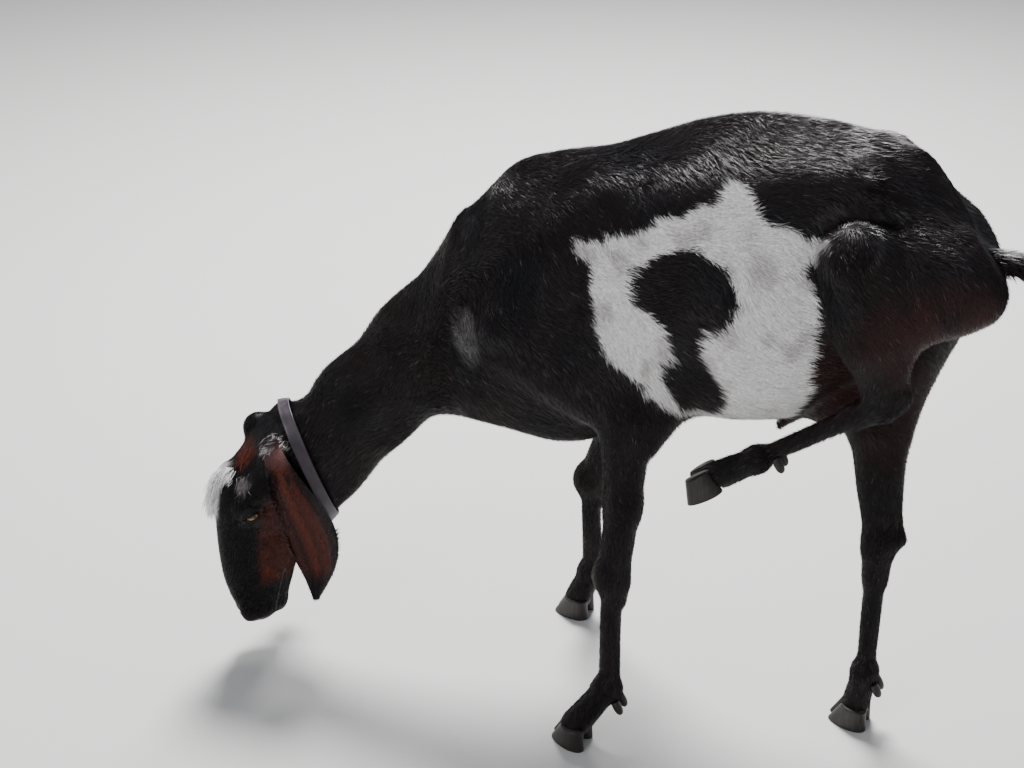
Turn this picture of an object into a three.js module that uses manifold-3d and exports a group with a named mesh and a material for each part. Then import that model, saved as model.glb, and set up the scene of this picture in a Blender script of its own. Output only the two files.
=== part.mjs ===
// Life-size model of a lop-eared dairy goat that grazes on three legs, its left hind foot lifted forward.
// Millimetres, +Z up. The goat faces -X, so its left side is -Y. The feet stand on Z = 0.
// The body is described by a field of blended muscles and bones, negative inside. Each solid is a closed
// loft of rings, whose points are found by walking outwards from an axis until the field turns positive.
import * as THREE from 'three';
import { mergeVertices } from 'three/addons/utils/BufferGeometryUtils.js';
import Module from 'manifold-3d';

const wasm = await Module();
wasm.setup();

// ---------------------------------------------------------------- driving dimensions (mm)
const LEFT = -1;
const RIGHT = 1;
const GAP = 0.35;                 // clearance between neighbouring solids
const EYE_R = 14.5;
const HEAD_YAW = 48;              // degrees, the hanging head is turned towards the goat's left
const POLL = [-458, -121, 375];   // where the head's long axis starts

// The trunk's outline at stations along X: spine, underline, half width, and how high the widest point sits.
const TRUNK = [
  { x: -170, top: 706, low: 452, half: 62, wide: 0.45 },
  { x: -110, top: 790, low: 405, half: 88, wide: 0.44 },
  { x: -50, top: 818, low: 391, half: 104, wide: 0.44 },
  { x: 20, top: 834, low: 404, half: 112, wide: 0.44 },
  { x: 90, top: 862, low: 452, half: 124, wide: 0.42 },
  { x: 160, top: 890, low: 482, half: 139, wide: 0.4 },
  { x: 235, top: 905, low: 487, half: 143, wide: 0.4 },
  { x: 310, top: 904, low: 505, half: 124, wide: 0.42 },
  { x: 380, top: 892, low: 560, half: 98, wide: 0.48 },
  { x: 440, top: 870, low: 620, half: 76, wide: 0.5 },
  { x: 490, top: 800, low: 655, half: 56, wide: 0.5 },
];

// The head's outline at stations down the face, measured from its axis: forehead, jaw, half width.
const HEAD = [
  { at: -20, front: -27, back: -72, half: 37 },
  { at: 30, front: 25, back: -84, half: 48 },
  { at: 70, front: 60, back: -84, half: 54 },
  { at: 110, front: 75, back: -76, half: 52 },
  { at: 150, front: 78, back: -66, half: 44 },
  { at: 190, front: 78, back: -53, half: 37 },
  { at: 225, front: 76, back: -46, half: 33 },
  { at: 255, front: 71, back: -37, half: 31 },
  { at: 285, front: 62, back: -27, half: 29 },
  { at: 308, front: 48, back: -16, half: 24 },
];

// Joints of each leg, from the top down, and the middle of its foot on the floor with the toes' heading.
const FORE = {
  left: {
    blade: [34, -48, 786], shoulder: [-72, -98, 590], elbow: [112, -112, 500],
    knee: [95, -134, 262], fetlock: [98, -152, 88], foot: [52, -172], turn: 10, splay: 11,
  },
  right: {
    blade: [14, 48, 782], shoulder: [-92, 98, 580], elbow: [50, 112, 476],
    knee: [-28, 130, 246], fetlock: [-25, 131, 82], foot: [-52, 128], turn: 0, splay: 7,
  },
};
const HIND = {
  left: {
    hip: [466, -60, 742], stifle: [382, -118, 768], calf: [404, -112, 668], hock: [424, -96, 578],
    point: [450, -95, 596], fetlock: [278, -112, 478], ham: [518, -52, 712], tendon: [34, 17],
    turn: 0, splay: 6,
  },
  right: {
    hip: [464, 58, 732], stifle: [396, 90, 580], calf: [393, 74, 464], hock: [424, 46, 280],
    point: [449, 45, 304], fetlock: [429, 24, 88], ham: [492, 50, 700], tendon: [27, 12],
    foot: [414, 20], turn: 6, splay: 8,
  },
};

// The raised foot, measured from its fetlock: the pastern's end, the sole's middle, and its droop in degrees.
const RAISED_FOOT = { ankle: [-44, 0, -30], sole: [-62, 0, -66], pitch: -36 };
const CLAW = { length: 60, width: 31, height: 34, sides: 10, apart: 11.5 };
const DEWCLAW = { length: 22, radius: 6.5 };

// A hanging ear: a cupped leaf whose stations run from its root to its tip, in head measures.
const EAR = [
  { at: 8, front: -6, left: 42, wide: 15, lift: 13 },
  { at: 34, front: -11, left: 57, wide: 20, lift: 22 },
  { at: 66, front: -21, left: 66, wide: 29, lift: 29 },
  { at: 104, front: -33, left: 71, wide: 37, lift: 24 },
  { at: 144, front: -45, left: 74, wide: 41, lift: 12 },
  { at: 184, front: -53, left: 75, wide: 38, lift: 3 },
  { at: 220, front: -56, left: 75, wide: 28, lift: 0 },
  { at: 247, front: -52, left: 74, wide: 16, lift: 0 },
  { at: 264, front: -47, left: 73, wide: 7, lift: 0 },
];
const EAR_THICK = 3.2;            // half of the thickness in the middle
const EAR_CUP = 13;               // how far the edges bend in towards the cheek, at the widest
const EAR_LIFT = [-0.45, 0.4, 0.8];   // where the turned neck pushes the left ear, by `lift`
const EYE = { at: 108, front: 35, left: 43 };

const TAIL = [
  { at: [516, 0, 748], r: 20 }, { at: [556, -3, 752], r: 18 }, { at: [584, -8, 741], r: 20 },
  { at: [605, -12, 714], r: 20 }, { at: [614, -14, 680], r: 15 }, { at: [616, -14, 648], r: 6 },
];
const UDDER = { at: [350, 0, 545], r: [66, 56, 54] };
const COLLAR = {
  at: [-390, -86, 298], down: [100, -52, -152], side: [-0.574, 0.819, 0],
  width: 18, thick: 2.6, slack: 1.5, steps: 32,
};
// Where a foreleg is parted from the chest: the span along X from the elbow, and the toes' span below it,
// the distance out from the middle, the roof's height from the elbow at Y = 0 and its slope outwards,
// and the level below which there is no chest.
const ARMPIT = { along: [-56, 52], toe: [-190, 90], across: [80, 260], roof: -52, slope: 0.45, clear: 430 };
const THROAT = { along: [-600, -325], across: [-260, 60], roof: 282 };   // the head's part behind the collar
const FAR = 800;                  // longer than any limb
const SLIVER = 900;               // mm3, what a parting cut may shave off

// ---------------------------------------------------------------- small vector helpers
const add = (a, b) => [a[0] + b[0], a[1] + b[1], a[2] + b[2]];
const sub = (a, b) => [a[0] - b[0], a[1] - b[1], a[2] - b[2]];
const mul = (a, s) => [a[0] * s, a[1] * s, a[2] * s];
const dot = (a, b) => a[0] * b[0] + a[1] * b[1] + a[2] * b[2];
const cross = (a, b) => [a[1] * b[2] - a[2] * b[1], a[2] * b[0] - a[0] * b[2], a[0] * b[1] - a[1] * b[0]];
const size = (a) => Math.hypot(a[0], a[1], a[2]);
const unit = (a) => mul(a, 1 / size(a));
const mix = (a, b, t) => add(mul(a, 1 - t), mul(b, t));
const clamp = (v, lo, hi) => Math.min(hi, Math.max(lo, v));
const radians = (d) => (d * Math.PI) / 180;

// Smooth union: near a meeting of two forms, within k, the crease is filled.
const blend = (a, b, k) => {
  const h = Math.max(k - Math.abs(a - b), 0) / k;
  return Math.min(a, b) - (h * h * k) / 4;
};

// ---------------------------------------------------------------- field primitives
// A limb piece from a to b whose radius runs from ra to rb; flat squeezes it along the direction `side`.
function taper(p, a, b, ra, rb, side = null, flat = 1) {
  let d = sub(p, a);
  const axis = sub(b, a);
  if (side) d = add(d, mul(side, dot(d, side) * (1 / flat - 1)));
  const t = clamp(dot(d, axis) / dot(axis, axis), 0, 1);
  return (size(sub(d, mul(axis, t))) - (ra + (rb - ra) * t)) * (side ? Math.min(1, flat + 0.15) : 1);
}

// An ellipsoid with radii r, leaning by `tilt` degrees about Y.
function lump(p, c, r, tilt = 0) {
  const d = sub(p, c);
  const s = Math.sin(radians(tilt));
  const k = Math.cos(radians(tilt));
  const q = [d[0] * k + d[2] * s, d[1], d[2] * k - d[0] * s];
  const n = size([q[0] / r[0], q[1] / r[1], q[2] / r[2]]);
  const g = size([q[0] / r[0] ** 2, q[1] / r[1] ** 2, q[2] / r[2] ** 2]);
  return g < 1e-9 ? -Math.min(...r) : (n * (n - 1)) / g;
}

// A smooth curve through rows of named values, read at position v.
function follow(rows, key, name, v) {
  const n = rows.length;
  let i = 0;
  while (i < n - 2 && v > rows[i + 1][key]) i++;
  const [p, q] = [rows[i], rows[i + 1]];
  const slope = (j) => {
    const [lo, hi] = [rows[Math.max(j - 1, 0)], rows[Math.min(j + 1, n - 1)]];
    return (hi[name] - lo[name]) / (hi[key] - lo[key]);
  };
  const w = q[key] - p[key];
  const t = clamp((v - p[key]) / w, 0, 1);
  const [t2, t3] = [t * t, t * t * t];
  return (
    p[name] * (2 * t3 - 3 * t2 + 1) + q[name] * (3 * t2 - 2 * t3) +
    w * (slope(i) * (t3 - 2 * t2 + t) + slope(i + 1) * (t3 - t2))
  );
}

// A lofted body: at each station an egg-shaped section between `hi` and `lo`, widest at `wide` of its depth.
function section(across, up, hi, lo, half, wide, roof, keel) {
  const mid = lo + (hi - lo) * wide;
  const above = up > mid;
  const v = Math.abs(up - mid) / (above ? hi - mid : mid - lo);
  const n = above ? roof : keel;
  const r = (Math.abs(across / half) ** n + v ** n) ** (1 / n);
  const reach = Math.hypot(across, up - mid);
  return r < 1e-6 ? -Math.min(half, hi - mid, mid - lo) : reach * (1 - 1 / r);
}

// ---------------------------------------------------------------- the goat's forms
const HEAD_LEFT = [Math.sin(radians(HEAD_YAW)), -Math.cos(radians(HEAD_YAW)), 0];
const HEAD_DOWN = [0, 0, -1];
const HEAD_FACE = cross(HEAD_DOWN, HEAD_LEFT);
const ACROSS = [0, 1, 0];

// From head measures (down the face, out of the face, to the goat's left) to the body's frame, and back.
const onHead = (at, front, left) =>
  add(POLL, add(mul(HEAD_DOWN, at), add(mul(HEAD_FACE, front), mul(HEAD_LEFT, left))));
const inHead = (p) => {
  const d = sub(p, POLL);
  return [dot(d, HEAD_DOWN), dot(d, HEAD_FACE), dot(d, HEAD_LEFT)];
};

function trunkForm(p) {
  const x = clamp(p[0], TRUNK[0].x, TRUNK[TRUNK.length - 1].x);
  const read = (name) => follow(TRUNK, 'x', name, x);
  const roof = 1.9 - 0.15 * clamp(p[0] / 120, 0, 1);
  const round = section(p[1], p[2], read('top'), read('low'), read('half'), read('wide'), roof, 2.2);
  const beyond = Math.abs(p[0] - x);
  let d = beyond > 0 ? Math.hypot(Math.max(round, 0), beyond) + Math.min(round, 0) * 0.2 : round;
  d = blend(d, lump(p, [-128, 0, 520], [72, 78, 118], -12), 50);          // breast
  d = blend(d, taper(p, [440, 0, 772], [512, 0, 722], 46, 24), 34);       // croup
  for (const s of [LEFT, RIGHT]) {
    d = blend(d, taper(p, [386, s * 62, 850], [470, s * 52, 778], 17, 24), 30);   // hook and rump bone
    d = blend(d, taper(p, [486, s * 42, 742], [526, s * 32, 722], 26, 17), 24);   // pin bone
    d = blend(d, taper(p, [150, s * 40, 806], [372, s * 44, 845], 31, 31), 40);   // loin muscle
  }
  return d;
}

function neckForm(p) {
  const turned = (deg) => [-Math.sin(radians(deg)), Math.cos(radians(deg)), 0];
  let d = taper(p, [-108, 0, 602], [-232, -12, 498], 122, 84, ACROSS, 0.64);
  d = blend(d, taper(p, [-232, -12, 498], [-322, -45, 410], 82, 72, turned(12), 0.66), 40);
  d = blend(d, taper(p, [-322, -45, 404], [-382, -86, 326], 72, 70, turned(26), 0.66), 40);
  return blend(d, taper(p, [-382, -86, 326], [-411, -108, 283], 70, 68, turned(38), 0.7), 40);
}

function headForm(p) {
  const h = inHead(p);
  const at = clamp(h[0], HEAD[0].at, HEAD[HEAD.length - 1].at);
  const read = (name) => follow(HEAD, 'at', name, at);
  const round = section(h[2], h[1], read('front'), read('back'), read('half'), 0.58, 2.1, 1.7);
  const beyond = Math.abs(h[0] - at);
  let d = beyond > 0 ? Math.hypot(Math.max(round, 0), beyond) + Math.min(round, 0) * 0.2 : round;
  d = blend(d, lump(h, [306, 22, 0], [22, 26, 23]), 16);                  // lips and nose
  d = blend(d, lump(h, [300, -8, 0], [18, 15, 17]), 12);                  // chin
  d = blend(d, lump(h, [140, -66, 2], [50, 33, 31]), 40);                 // throat
  d = blend(d, lump(h, [88, 66, 0], [42, 26, 21]), 16);                   // tuft on the forehead
  for (const s of [LEFT, RIGHT]) {
    d = blend(d, lump(h, [110, -38, s * 34], [58, 36, 20]), 22);          // cheek
    d = blend(d, lump(h, [106, 37, s * 40], [25, 22, 14]), 14);           // eye socket rim
    d = blend(d, lump(h, [16, -10, s * 42], [24, 24, 18]), 18);           // ear root
    d = blend(d, lump(h, [300, 42, s * 13], [20, 15, 13]), 10);           // nostril wing
  }
  return d;
}

// The shoulder and upper arm, which lie against the chest.
function shoulderForm(p, leg) {
  const { blade, shoulder, elbow } = leg;
  const s = Math.sign(elbow[1]);
  const triceps = taper(p, mix(blade, elbow, 0.42), add(elbow, [10, s * -4, 18]), 56, 34, ACROSS, 0.56);
  const d = taper(p, blade, shoulder, 22, 44, ACROSS, 0.66);
  return blend(blend(d, taper(p, shoulder, elbow, 46, 40, ACROSS, 0.72), 34), triceps, 44);
}

// The upper thigh, which lies against the rump.
function thighForm(p, leg) {
  const { hip, stifle, calf, ham } = leg;
  let d = taper(p, hip, stifle, 50, 47);
  d = blend(d, taper(p, ham, mix(stifle, calf, 0.9), 28, 32), 44);
  return blend(d, taper(p, mix(hip, ham, 0.35), mix(stifle, calf, 0.5), 50, 42), 36);
}

// Everything round the body's long axis, from the muzzle to the rump.
function axialForm(p) {
  let d = blend(trunkForm(p), neckForm(p), 60);
  d = blend(d, headForm(p), 34);
  for (const leg of Object.values(FORE)) d = blend(d, shoulderForm(p, leg), 50);
  d = blend(d, thighForm(p, HIND.left), 36);
  const { hip, ham, stifle } = HIND.right;
  d = blend(d, taper(p, hip, mix(hip, stifle, 0.45), 52, 44), 44);
  return blend(d, taper(p, ham, mix(ham, stifle, 0.35), 27, 24), 34);
}

function foreLegForm(p, leg) {
  const { elbow, knee, fetlock, foot } = leg;
  const s = Math.sign(elbow[1]);
  let d = shoulderForm(p, leg);
  d = blend(d, taper(p, add(elbow, [16, s * 2, 6]), add(elbow, [18, s * 2, -30]), 22, 14), 20);
  d = blend(d, taper(p, add(elbow, [-12, 0, 10]), mix(elbow, knee, 0.55), 41, 26, ACROSS, 0.8), 24);
  d = blend(d, taper(p, mix(elbow, knee, 0.5), knee, 26, 24, ACROSS, 0.8), 16);
  d = blend(d, lump(p, add(knee, [-3, 0, 4]), [27, 23, 32]), 12);
  d = blend(d, taper(p, add(knee, [16, 0, -6]), add(knee, [14, 0, -34]), 9, 8), 10);
  d = blend(d, taper(p, add(knee, [0, 0, -25]), fetlock, 17, 15, ACROSS, 0.8), 14);
  d = blend(d, taper(p, mix(knee, fetlock, 0.3), add(fetlock, [9, 0, 0]), 12, 12), 8);
  d = blend(d, lump(p, fetlock, [23, 19, 21]), 12);
  return blend(d, taper(p, fetlock, [foot[0] + 8, foot[1], 30], 19, 23), 10);
}

function hindLegForm(p, leg) {
  return blend(blend(thighForm(p, leg), calfForm(p, leg), 30), shankForm(p, leg), 14);
}

function calfForm(p, leg) {
  const { stifle, calf, hock, point, ham, tendon } = leg;
  let d = taper(p, stifle, calf, 48, 37, ACROSS, 0.85);
  d = blend(d, taper(p, calf, hock, 36, 20, ACROSS, 0.82), 24);
  d = blend(d, taper(p, mix(ham, stifle, 0.4), mix(calf, point, 0.55), ...tendon, ACROSS, 0.8), 40);
  return blend(d, taper(p, add(calf, mul(unit(sub(point, hock)), 16)), point, 20, 10.5, ACROSS, 0.85), 14);
}

function shankForm(p, leg) {
  const { hock, point, fetlock, foot } = leg;
  const shin = sub(fetlock, hock);
  let d = taper(p, point, hock, 12, 22, ACROSS, 0.8);
  d = blend(d, taper(p, add(hock, mul(shin, -0.08)), add(hock, mul(shin, 0.22)), 23, 18, ACROSS, 0.78), 14);
  d = blend(d, taper(p, add(hock, mul(shin, 0.15)), fetlock, 17, 15, ACROSS, 0.8), 14);
  d = blend(d, lump(p, fetlock, [20, 20, 20]), 14);
  const ankle = foot ? [foot[0] + 8, foot[1], 30] : add(fetlock, RAISED_FOOT.ankle);
  return blend(d, taper(p, fetlock, ankle, 19, 22), 10);
}

// ---------------------------------------------------------------- lofts
const flatten = (pts) => new Float32Array(pts.flat());

// A closed geometry from rings of points, each ring the same length, with a centre point at both ends.
function ringsToGeometry(rings, first, last) {
  const n = rings[0].length;
  const points = [...rings.flat(), first, last];
  const [a, z] = [points.length - 2, points.length - 1];
  const index = [];
  for (let i = 0; i < rings.length - 1; i++) {
    for (let j = 0; j < n; j++) {
      const [p, q] = [i * n + j, i * n + ((j + 1) % n)];
      index.push(p, q, p + n, q, q + n, p + n);
    }
  }
  const end = (rings.length - 1) * n;
  for (let j = 0; j < n; j++) {
    index.push(a, (j + 1) % n, j);
    index.push(z, end + j, end + ((j + 1) % n));
  }
  const made = new THREE.BufferGeometry();
  made.setAttribute('position', new THREE.BufferAttribute(flatten(points), 3));
  made.setIndex(index);
  return made;
}

// The distance from `from` along `dir` to the form's surface.
function reachOf(form, from, dir, most = 400) {
  let near = 0;
  let t = 0;
  while (t < most) {
    const d = form(add(from, mul(dir, t)));
    if (d > 0) break;
    near = t;
    t += Math.max(1.2, -d * 0.7);
  }
  for (let i = 0; i < 24; i++) {
    const m = (near + t) / 2;
    if (form(add(from, mul(dir, m))) > 0) t = m;
    else near = m;
  }
  return Math.max(near, 0.8);
}

// Rings cast outwards from a path. `side` gives the direction that counts as sideways at a place.
function castRings(form, path, sides, side = () => ACROSS) {
  return path.map((o, i) => {
    const along = unit(sub(path[Math.min(i + 1, path.length - 1)], path[Math.max(i - 1, 0)]));
    const v = unit(cross(side(o), along));
    const u = cross(v, along);
    return Array.from({ length: sides }, (_, j) => {
      const a = (j / sides) * 2 * Math.PI;
      const dir = add(mul(u, Math.cos(a)), mul(v, Math.sin(a)));
      return add(o, mul(dir, reachOf(form, o, dir)));
    });
  });
}

// Evenly spread points along a smooth curve through `knots`, with `per` steps in each span.
function pathThrough(knots, per) {
  const curve = new THREE.CatmullRomCurve3(knots.map((k) => new THREE.Vector3(...k)), false, 'centripetal');
  const out = [];
  per.forEach((count, i) => {
    for (let j = 0; j < count; j++) out.push(curve.getPoint((i + j / count) / per.length).toArray());
  });
  out.push(curve.getPoint(1).toArray());
  return out;
}

const ROUNDED = [0.55, 0.85];      // how far the first rings of a limb reach, where it starts inside the body

function castLoft(form, path, sides, { side, buried = false } = {}) {
  const rings = castRings(form, path, sides, side);
  if (buried) ROUNDED.forEach((part, i) => { rings[i] = rings[i].map((q) => mix(path[i], q, part)); });
  const cap = (o, next) => {
    const out = unit(sub(o, next));
    return add(o, mul(out, reachOf(form, o, out)));
  };
  const n = path.length;
  return ringsToGeometry(rings, buried ? path[0] : cap(path[0], path[1]), cap(path[n - 1], path[n - 2]));
}

// ---------------------------------------------------------------- solids with manifold
function solidOf(geometry) {
  const bare = geometry.index ? geometry.clone() : geometry.toNonIndexed();
  bare.deleteAttribute('normal');
  bare.deleteAttribute('uv');
  const merged = mergeVertices(bare, 1e-3);
  const made = new wasm.Manifold(new wasm.Mesh({
    numProp: 3,
    vertProperties: merged.attributes.position.array,
    triVerts: new Uint32Array(merged.index.array),
  }));
  if (made.volume() < 0) throw new Error('a loft is inside out');
  return made;
}

function geometryOf(solid) {
  const mesh = solid.getMesh();
  const position = new Float32Array(mesh.numVert * 3);
  for (let i = 0; i < mesh.numVert; i++) {
    position.set(mesh.vertProperties.subarray(i * mesh.numProp, i * mesh.numProp + 3), i * 3);
  }
  const made = new THREE.BufferGeometry();
  made.setAttribute('position', new THREE.BufferAttribute(position, 3));
  made.setIndex(new THREE.BufferAttribute(new Uint32Array(mesh.triVerts), 1));
  return made;
}

// A block between two values of X and two of Y, with a floor and a roof that may rise outwards from Y = 0.
function block([x0, x1], [y0, y1], floor, roof, slope, grow) {
  const corner = ([a, b, c]) => {
    const y = b < 0 ? y0 - grow : y1 + grow;
    return [a < 0 ? x0 - grow : x1 + grow, y, c < 0 ? floor - grow : roof + slope * Math.abs(y) + grow];
  };
  return solidOf(placed(new THREE.BoxGeometry(1, 1, 1), corner));
}

// A box with its own axes, given by its centre and full size, grown by `grow` on every face.
function boxSolid(centre, axes, full, grow) {
  const made = new THREE.BoxGeometry(...full.map((f) => f + 2 * grow));
  const turn = new THREE.Matrix4().makeBasis(...axes.map((axis) => new THREE.Vector3(...axis)));
  turn.setPosition(...centre);
  return solidOf(made.applyMatrix4(turn));
}

// The space beyond a plane through `point`, on the side that `normal` points to. It is a block that goes far
// in every direction, but for `span`, its ends along the plane's level direction.
function beyond(point, normal, span = [-FAR, FAR]) {
  const n = unit(normal);
  const level = unit(Math.abs(n[0]) > 0.9 ? cross([0, 0, 1], n) : sub([1, 0, 0], mul(n, n[0])));
  const centre = add(point, add(mul(n, FAR / 2), mul(level, (span[0] + span[1]) / 2)));
  return (grow) => boxSolid(centre, [level, cross(n, level), n], [span[1] - span[0], 2 * FAR, FAR], grow);
}

// A geometry's vertices moved by `place`, a function from one point to another.
function placed(geometry, place) {
  const made = geometry.clone();
  const at = made.attributes.position;
  for (let i = 0; i < at.count; i++) at.setXYZ(i, ...place([at.getX(i), at.getY(i), at.getZ(i)]));
  return made;
}

// The largest body of a solid; a cut may shave off slivers, which are left out.
function mainBody(solid) {
  const bodies = solid.decompose().sort((p, q) => q.volume() - p.volume());
  if (bodies.length > 1 && bodies[1].volume() > SLIVER) throw new Error('a cut parts more than a sliver');
  return bodies[0];
}

// Parts a solid in two along a region's border, with the clearance taken from the first.
function partBy(solid, region) {
  return [mainBody(solid.subtract(region(GAP))), mainBody(solid.intersect(region(0)))];
}

// ---------------------------------------------------------------- lofted parts
// The body round its long axis, from the rump to the muzzle; `grow` makes it a little larger all round.
function axialLoft(grow = 0) {
  const path = pathThrough(
    [[536, 0, 736], [480, 0, 736], [350, 0, 706], [200, 0, 680], [60, 0, 640], [-80, 0, 600],
      [-232, -12, 498], [-322, -45, 412], [-392, -80, 350], onHead(50, -14, 0), onHead(140, 6, 0),
      onHead(240, 22, 0), onHead(318, 16, 0)],
    [3, 6, 5, 4, 5, 6, 4, 4, 5, 5, 6, 6]);
  const side = (p) => {
    const turned = clamp((-180 - p[0]) / 220, 0, 1) * radians(HEAD_YAW);
    return [-Math.sin(turned), Math.cos(turned), 0];
  };
  return castLoft((p) => axialForm(p) - grow, path, 20, { side });
}

const ankleOf = (leg) => [leg.foot[0] + 4, leg.foot[1], 26];

function foreLoft(leg) {
  const { elbow, knee, fetlock } = leg;
  const path = pathThrough([add(elbow, [-22, 0, 70]), elbow, knee, fetlock, ankleOf(leg)], [3, 7, 6, 2]);
  return castLoft((p) => foreLegForm(p, leg), path, 10, { buried: true });
}

function standingHindLoft(leg, grow = 0) {
  const { hip, stifle, calf, ham, hock, fetlock } = leg;
  const upper = add(mix(mix(hip, ham, 0.4), stifle, 0.12), [0, 0, 6]);
  const thigh = mix(mix(hip, ham, 0.5), stifle, 0.62);
  const path = pathThrough([upper, thigh, calf, hock, fetlock, ankleOf(leg)], [3, 4, 6, 6, 2]);
  return castLoft((p) => hindLegForm(p, leg) - grow, path, 11, { buried: true });
}

function raisedCalfLoft(leg) {
  const { stifle, calf, hock } = leg;
  const end = add(hock, mul(unit(sub(hock, calf)), 8));
  const path = pathThrough([mix(stifle, calf, 0.5), calf, hock, end], [3, 4, 1]);
  return castLoft((p) => calfForm(p, leg), path, 11, { buried: true });
}

function raisedShankLoft(leg) {
  const { hock, fetlock } = leg;
  const path = pathThrough([mix(hock, fetlock, -0.06), fetlock, add(fetlock, RAISED_FOOT.ankle)], [7, 2]);
  return castLoft((p) => shankForm(p, leg), path, 10);
}

function tailLoft() {
  const form = (p) => TAIL.slice(1).reduce((d, knot, i) => {
    const piece = taper(p, TAIL[i].at, knot.at, TAIL[i].r, knot.r);
    return d === null ? piece : blend(d, piece, 12);
  }, null);
  const path = pathThrough(TAIL.map((k) => k.at), [3, 2, 2, 2, 2]);
  return castLoft(form, path, 10, { buried: true });
}

function udderSolid() {
  const bag = (p) => lump(p, UDDER.at, UDDER.r);
  const [x, y, z] = UDDER.at;
  const path = pathThrough([[x + 48, y, z], [x, y, z], [x - 48, y, z]], [3, 3]);
  let made = solidOf(castLoft(bag, path, 14));
  for (const s of [LEFT, RIGHT]) {
    const [root, tip] = [[x - 34, y + s * 28, z - 26], [x - 64, y + s * 35, z - 54]];
    const teat = (p) => taper(p, root, tip, 13, 7);
    made = made.add(solidOf(castLoft(teat, pathThrough([root, tip], [3]), 7)));
  }
  return made;
}

function earLoft(s) {
  const out = -s;
  const rings = EAR.map(({ at, front, left, wide, lift }) =>
    Array.from({ length: 10 }, (_, j) => {
      const t = (j / 10) * 2 * Math.PI * s;
      const bend = EAR_CUP * (wide / 41) * Math.cos(t) ** 2;
      const raise = s === LEFT ? mul(EAR_LIFT, lift * (1 - 0.5 * Math.cos(t))) : [0, 0, 0];
      const flat = [at, front + wide * Math.cos(t), left + EAR_THICK * Math.sin(t) - bend];
      const [down, face, side] = add(flat, raise);
      return onHead(down, face, out * side);
    }));
  return ringsToGeometry(rings, onHead(0, -5, out * 36), onHead(271, -46, out * 72));
}

// One claw of a cloven hoof: its sole on Z = 0, its toe towards -X, its flat face on the side `inner` of Y.
function clawGeometry(inner, grow = 0) {
  const { length, width, height, sides } = CLAW;
  const levels = [
    { z: -grow, back: 0 }, { z: height * 0.35, back: 0.1 }, { z: height * 0.7, back: 0.21 },
    { z: height + grow, back: 0.32 },
  ];
  const rings = levels.map(({ z, back }) =>
    Array.from({ length: sides }, (_, j) => {
      const t = (j / sides) * 2 * Math.PI;
      const toe = (1 - Math.cos(t)) / 2;                    // 1 at the toe, 0 at the heel
      const x = Math.cos(t) * (length / 2 + grow) + back * length * (toe - 0.12 * (1 - toe));
      const half = (width / 2 + grow) * (1 - 0.28 * toe) * (Math.sin(t) * inner > 0 ? 0.62 : 1);
      return [x, half * Math.sin(t), z];
    }));
  const middle = (ring) => mul(ring.reduce(add), 1 / ring.length);
  return ringsToGeometry(rings, middle(rings[0]), middle(rings[levels.length - 1]));
}

// A dewclaw: a blunt cone hanging from the origin along -Z.
function dewclawGeometry(grow = 0) {
  const { length, radius } = DEWCLAW;
  const outline = [
    [0, -length - grow], [radius * 0.5 + grow, -length * 0.9 - grow], [radius + grow, -length * 0.45],
    [radius * 0.9 + grow, grow], [0, grow],
  ];
  return new THREE.LatheGeometry(outline.map(([r, z]) => new THREE.Vector2(r, z)), 5).rotateX(Math.PI / 2);
}

// A strap round the neck. At each angle two corners lie on the skin, and two the strap's thickness out.
function collarGeometry(grow = 0) {
  const { at, down, side, width, thick, slack, steps } = COLLAR;
  const e1 = unit(down);
  const normal = unit(cross(e1, side));
  const e2 = cross(normal, e1);
  const points = [];
  for (let i = 0; i < steps; i++) {
    const a = (i / steps) * 2 * Math.PI;
    const dir = add(mul(e1, Math.cos(a)), mul(e2, Math.sin(a)));
    const edges = [-width / 2 - grow, width / 2 + grow].map((off) => {
      const from = add(at, mul(normal, off));
      return { from, r: reachOf(axialForm, from, dir) + slack - grow };
    });
    const [low, high] = edges;
    const corners = [[low, 0], [high, 0], [high, thick + 2 * grow], [low, thick + 2 * grow]];
    points.push(...corners.map(([edge, out]) => add(edge.from, mul(dir, edge.r + out))));
  }
  const index = [];
  for (let i = 0; i < steps; i++) {
    for (let j = 0; j < 4; j++) {
      const [p, q] = [i * 4 + j, i * 4 + ((j + 1) % 4)];
      const [pn, qn] = [((i + 1) % steps) * 4 + j, ((i + 1) % steps) * 4 + ((j + 1) % 4)];
      index.push(p, q, pn, q, qn, pn);
    }
  }
  const made = new THREE.BufferGeometry();
  made.setAttribute('position', new THREE.BufferAttribute(flatten(points), 3));
  made.setIndex(index);
  return made;
}

// ---------------------------------------------------------------- feet
// Where a foot's two claws and two dewclaws go: functions from a claw's own frame to the body's.
function footPlaces(leg) {
  const raised = !leg.foot;
  const centre = raised ? add(leg.fetlock, RAISED_FOOT.sole) : [leg.foot[0], leg.foot[1], 0];
  const pitch = raised ? radians(RAISED_FOOT.pitch) : 0;
  const heading = radians(leg.turn);
  const set = (q, yaw, sideways) => {
    const a = heading + yaw;
    const x = q[0] * Math.cos(a) + q[1] * Math.sin(a);
    const y = sideways + q[1] * Math.cos(a) - q[0] * Math.sin(a);
    const [c, k] = [Math.cos(pitch), Math.sin(pitch)];
    return add(centre, [x * c + q[2] * k, y, q[2] * c - x * k]);
  };
  const spread = radians(leg.splay);
  return [LEFT, RIGHT].map((s) => ({
    s,
    claw: (q) => set(q, -s * spread, s * CLAW.apart),
    dewclaw: (q) => {
      const [c, k] = [Math.cos(radians(28)), Math.sin(radians(28))];
      const turned = [q[0] * c - q[2] * k, q[1], q[2] * c + q[0] * k];
      const root = raised ? [26, s * 10, 12] : [16, s * 10, -12];
      return add(leg.fetlock, add(root, turned));
    },
  }));
}

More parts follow.
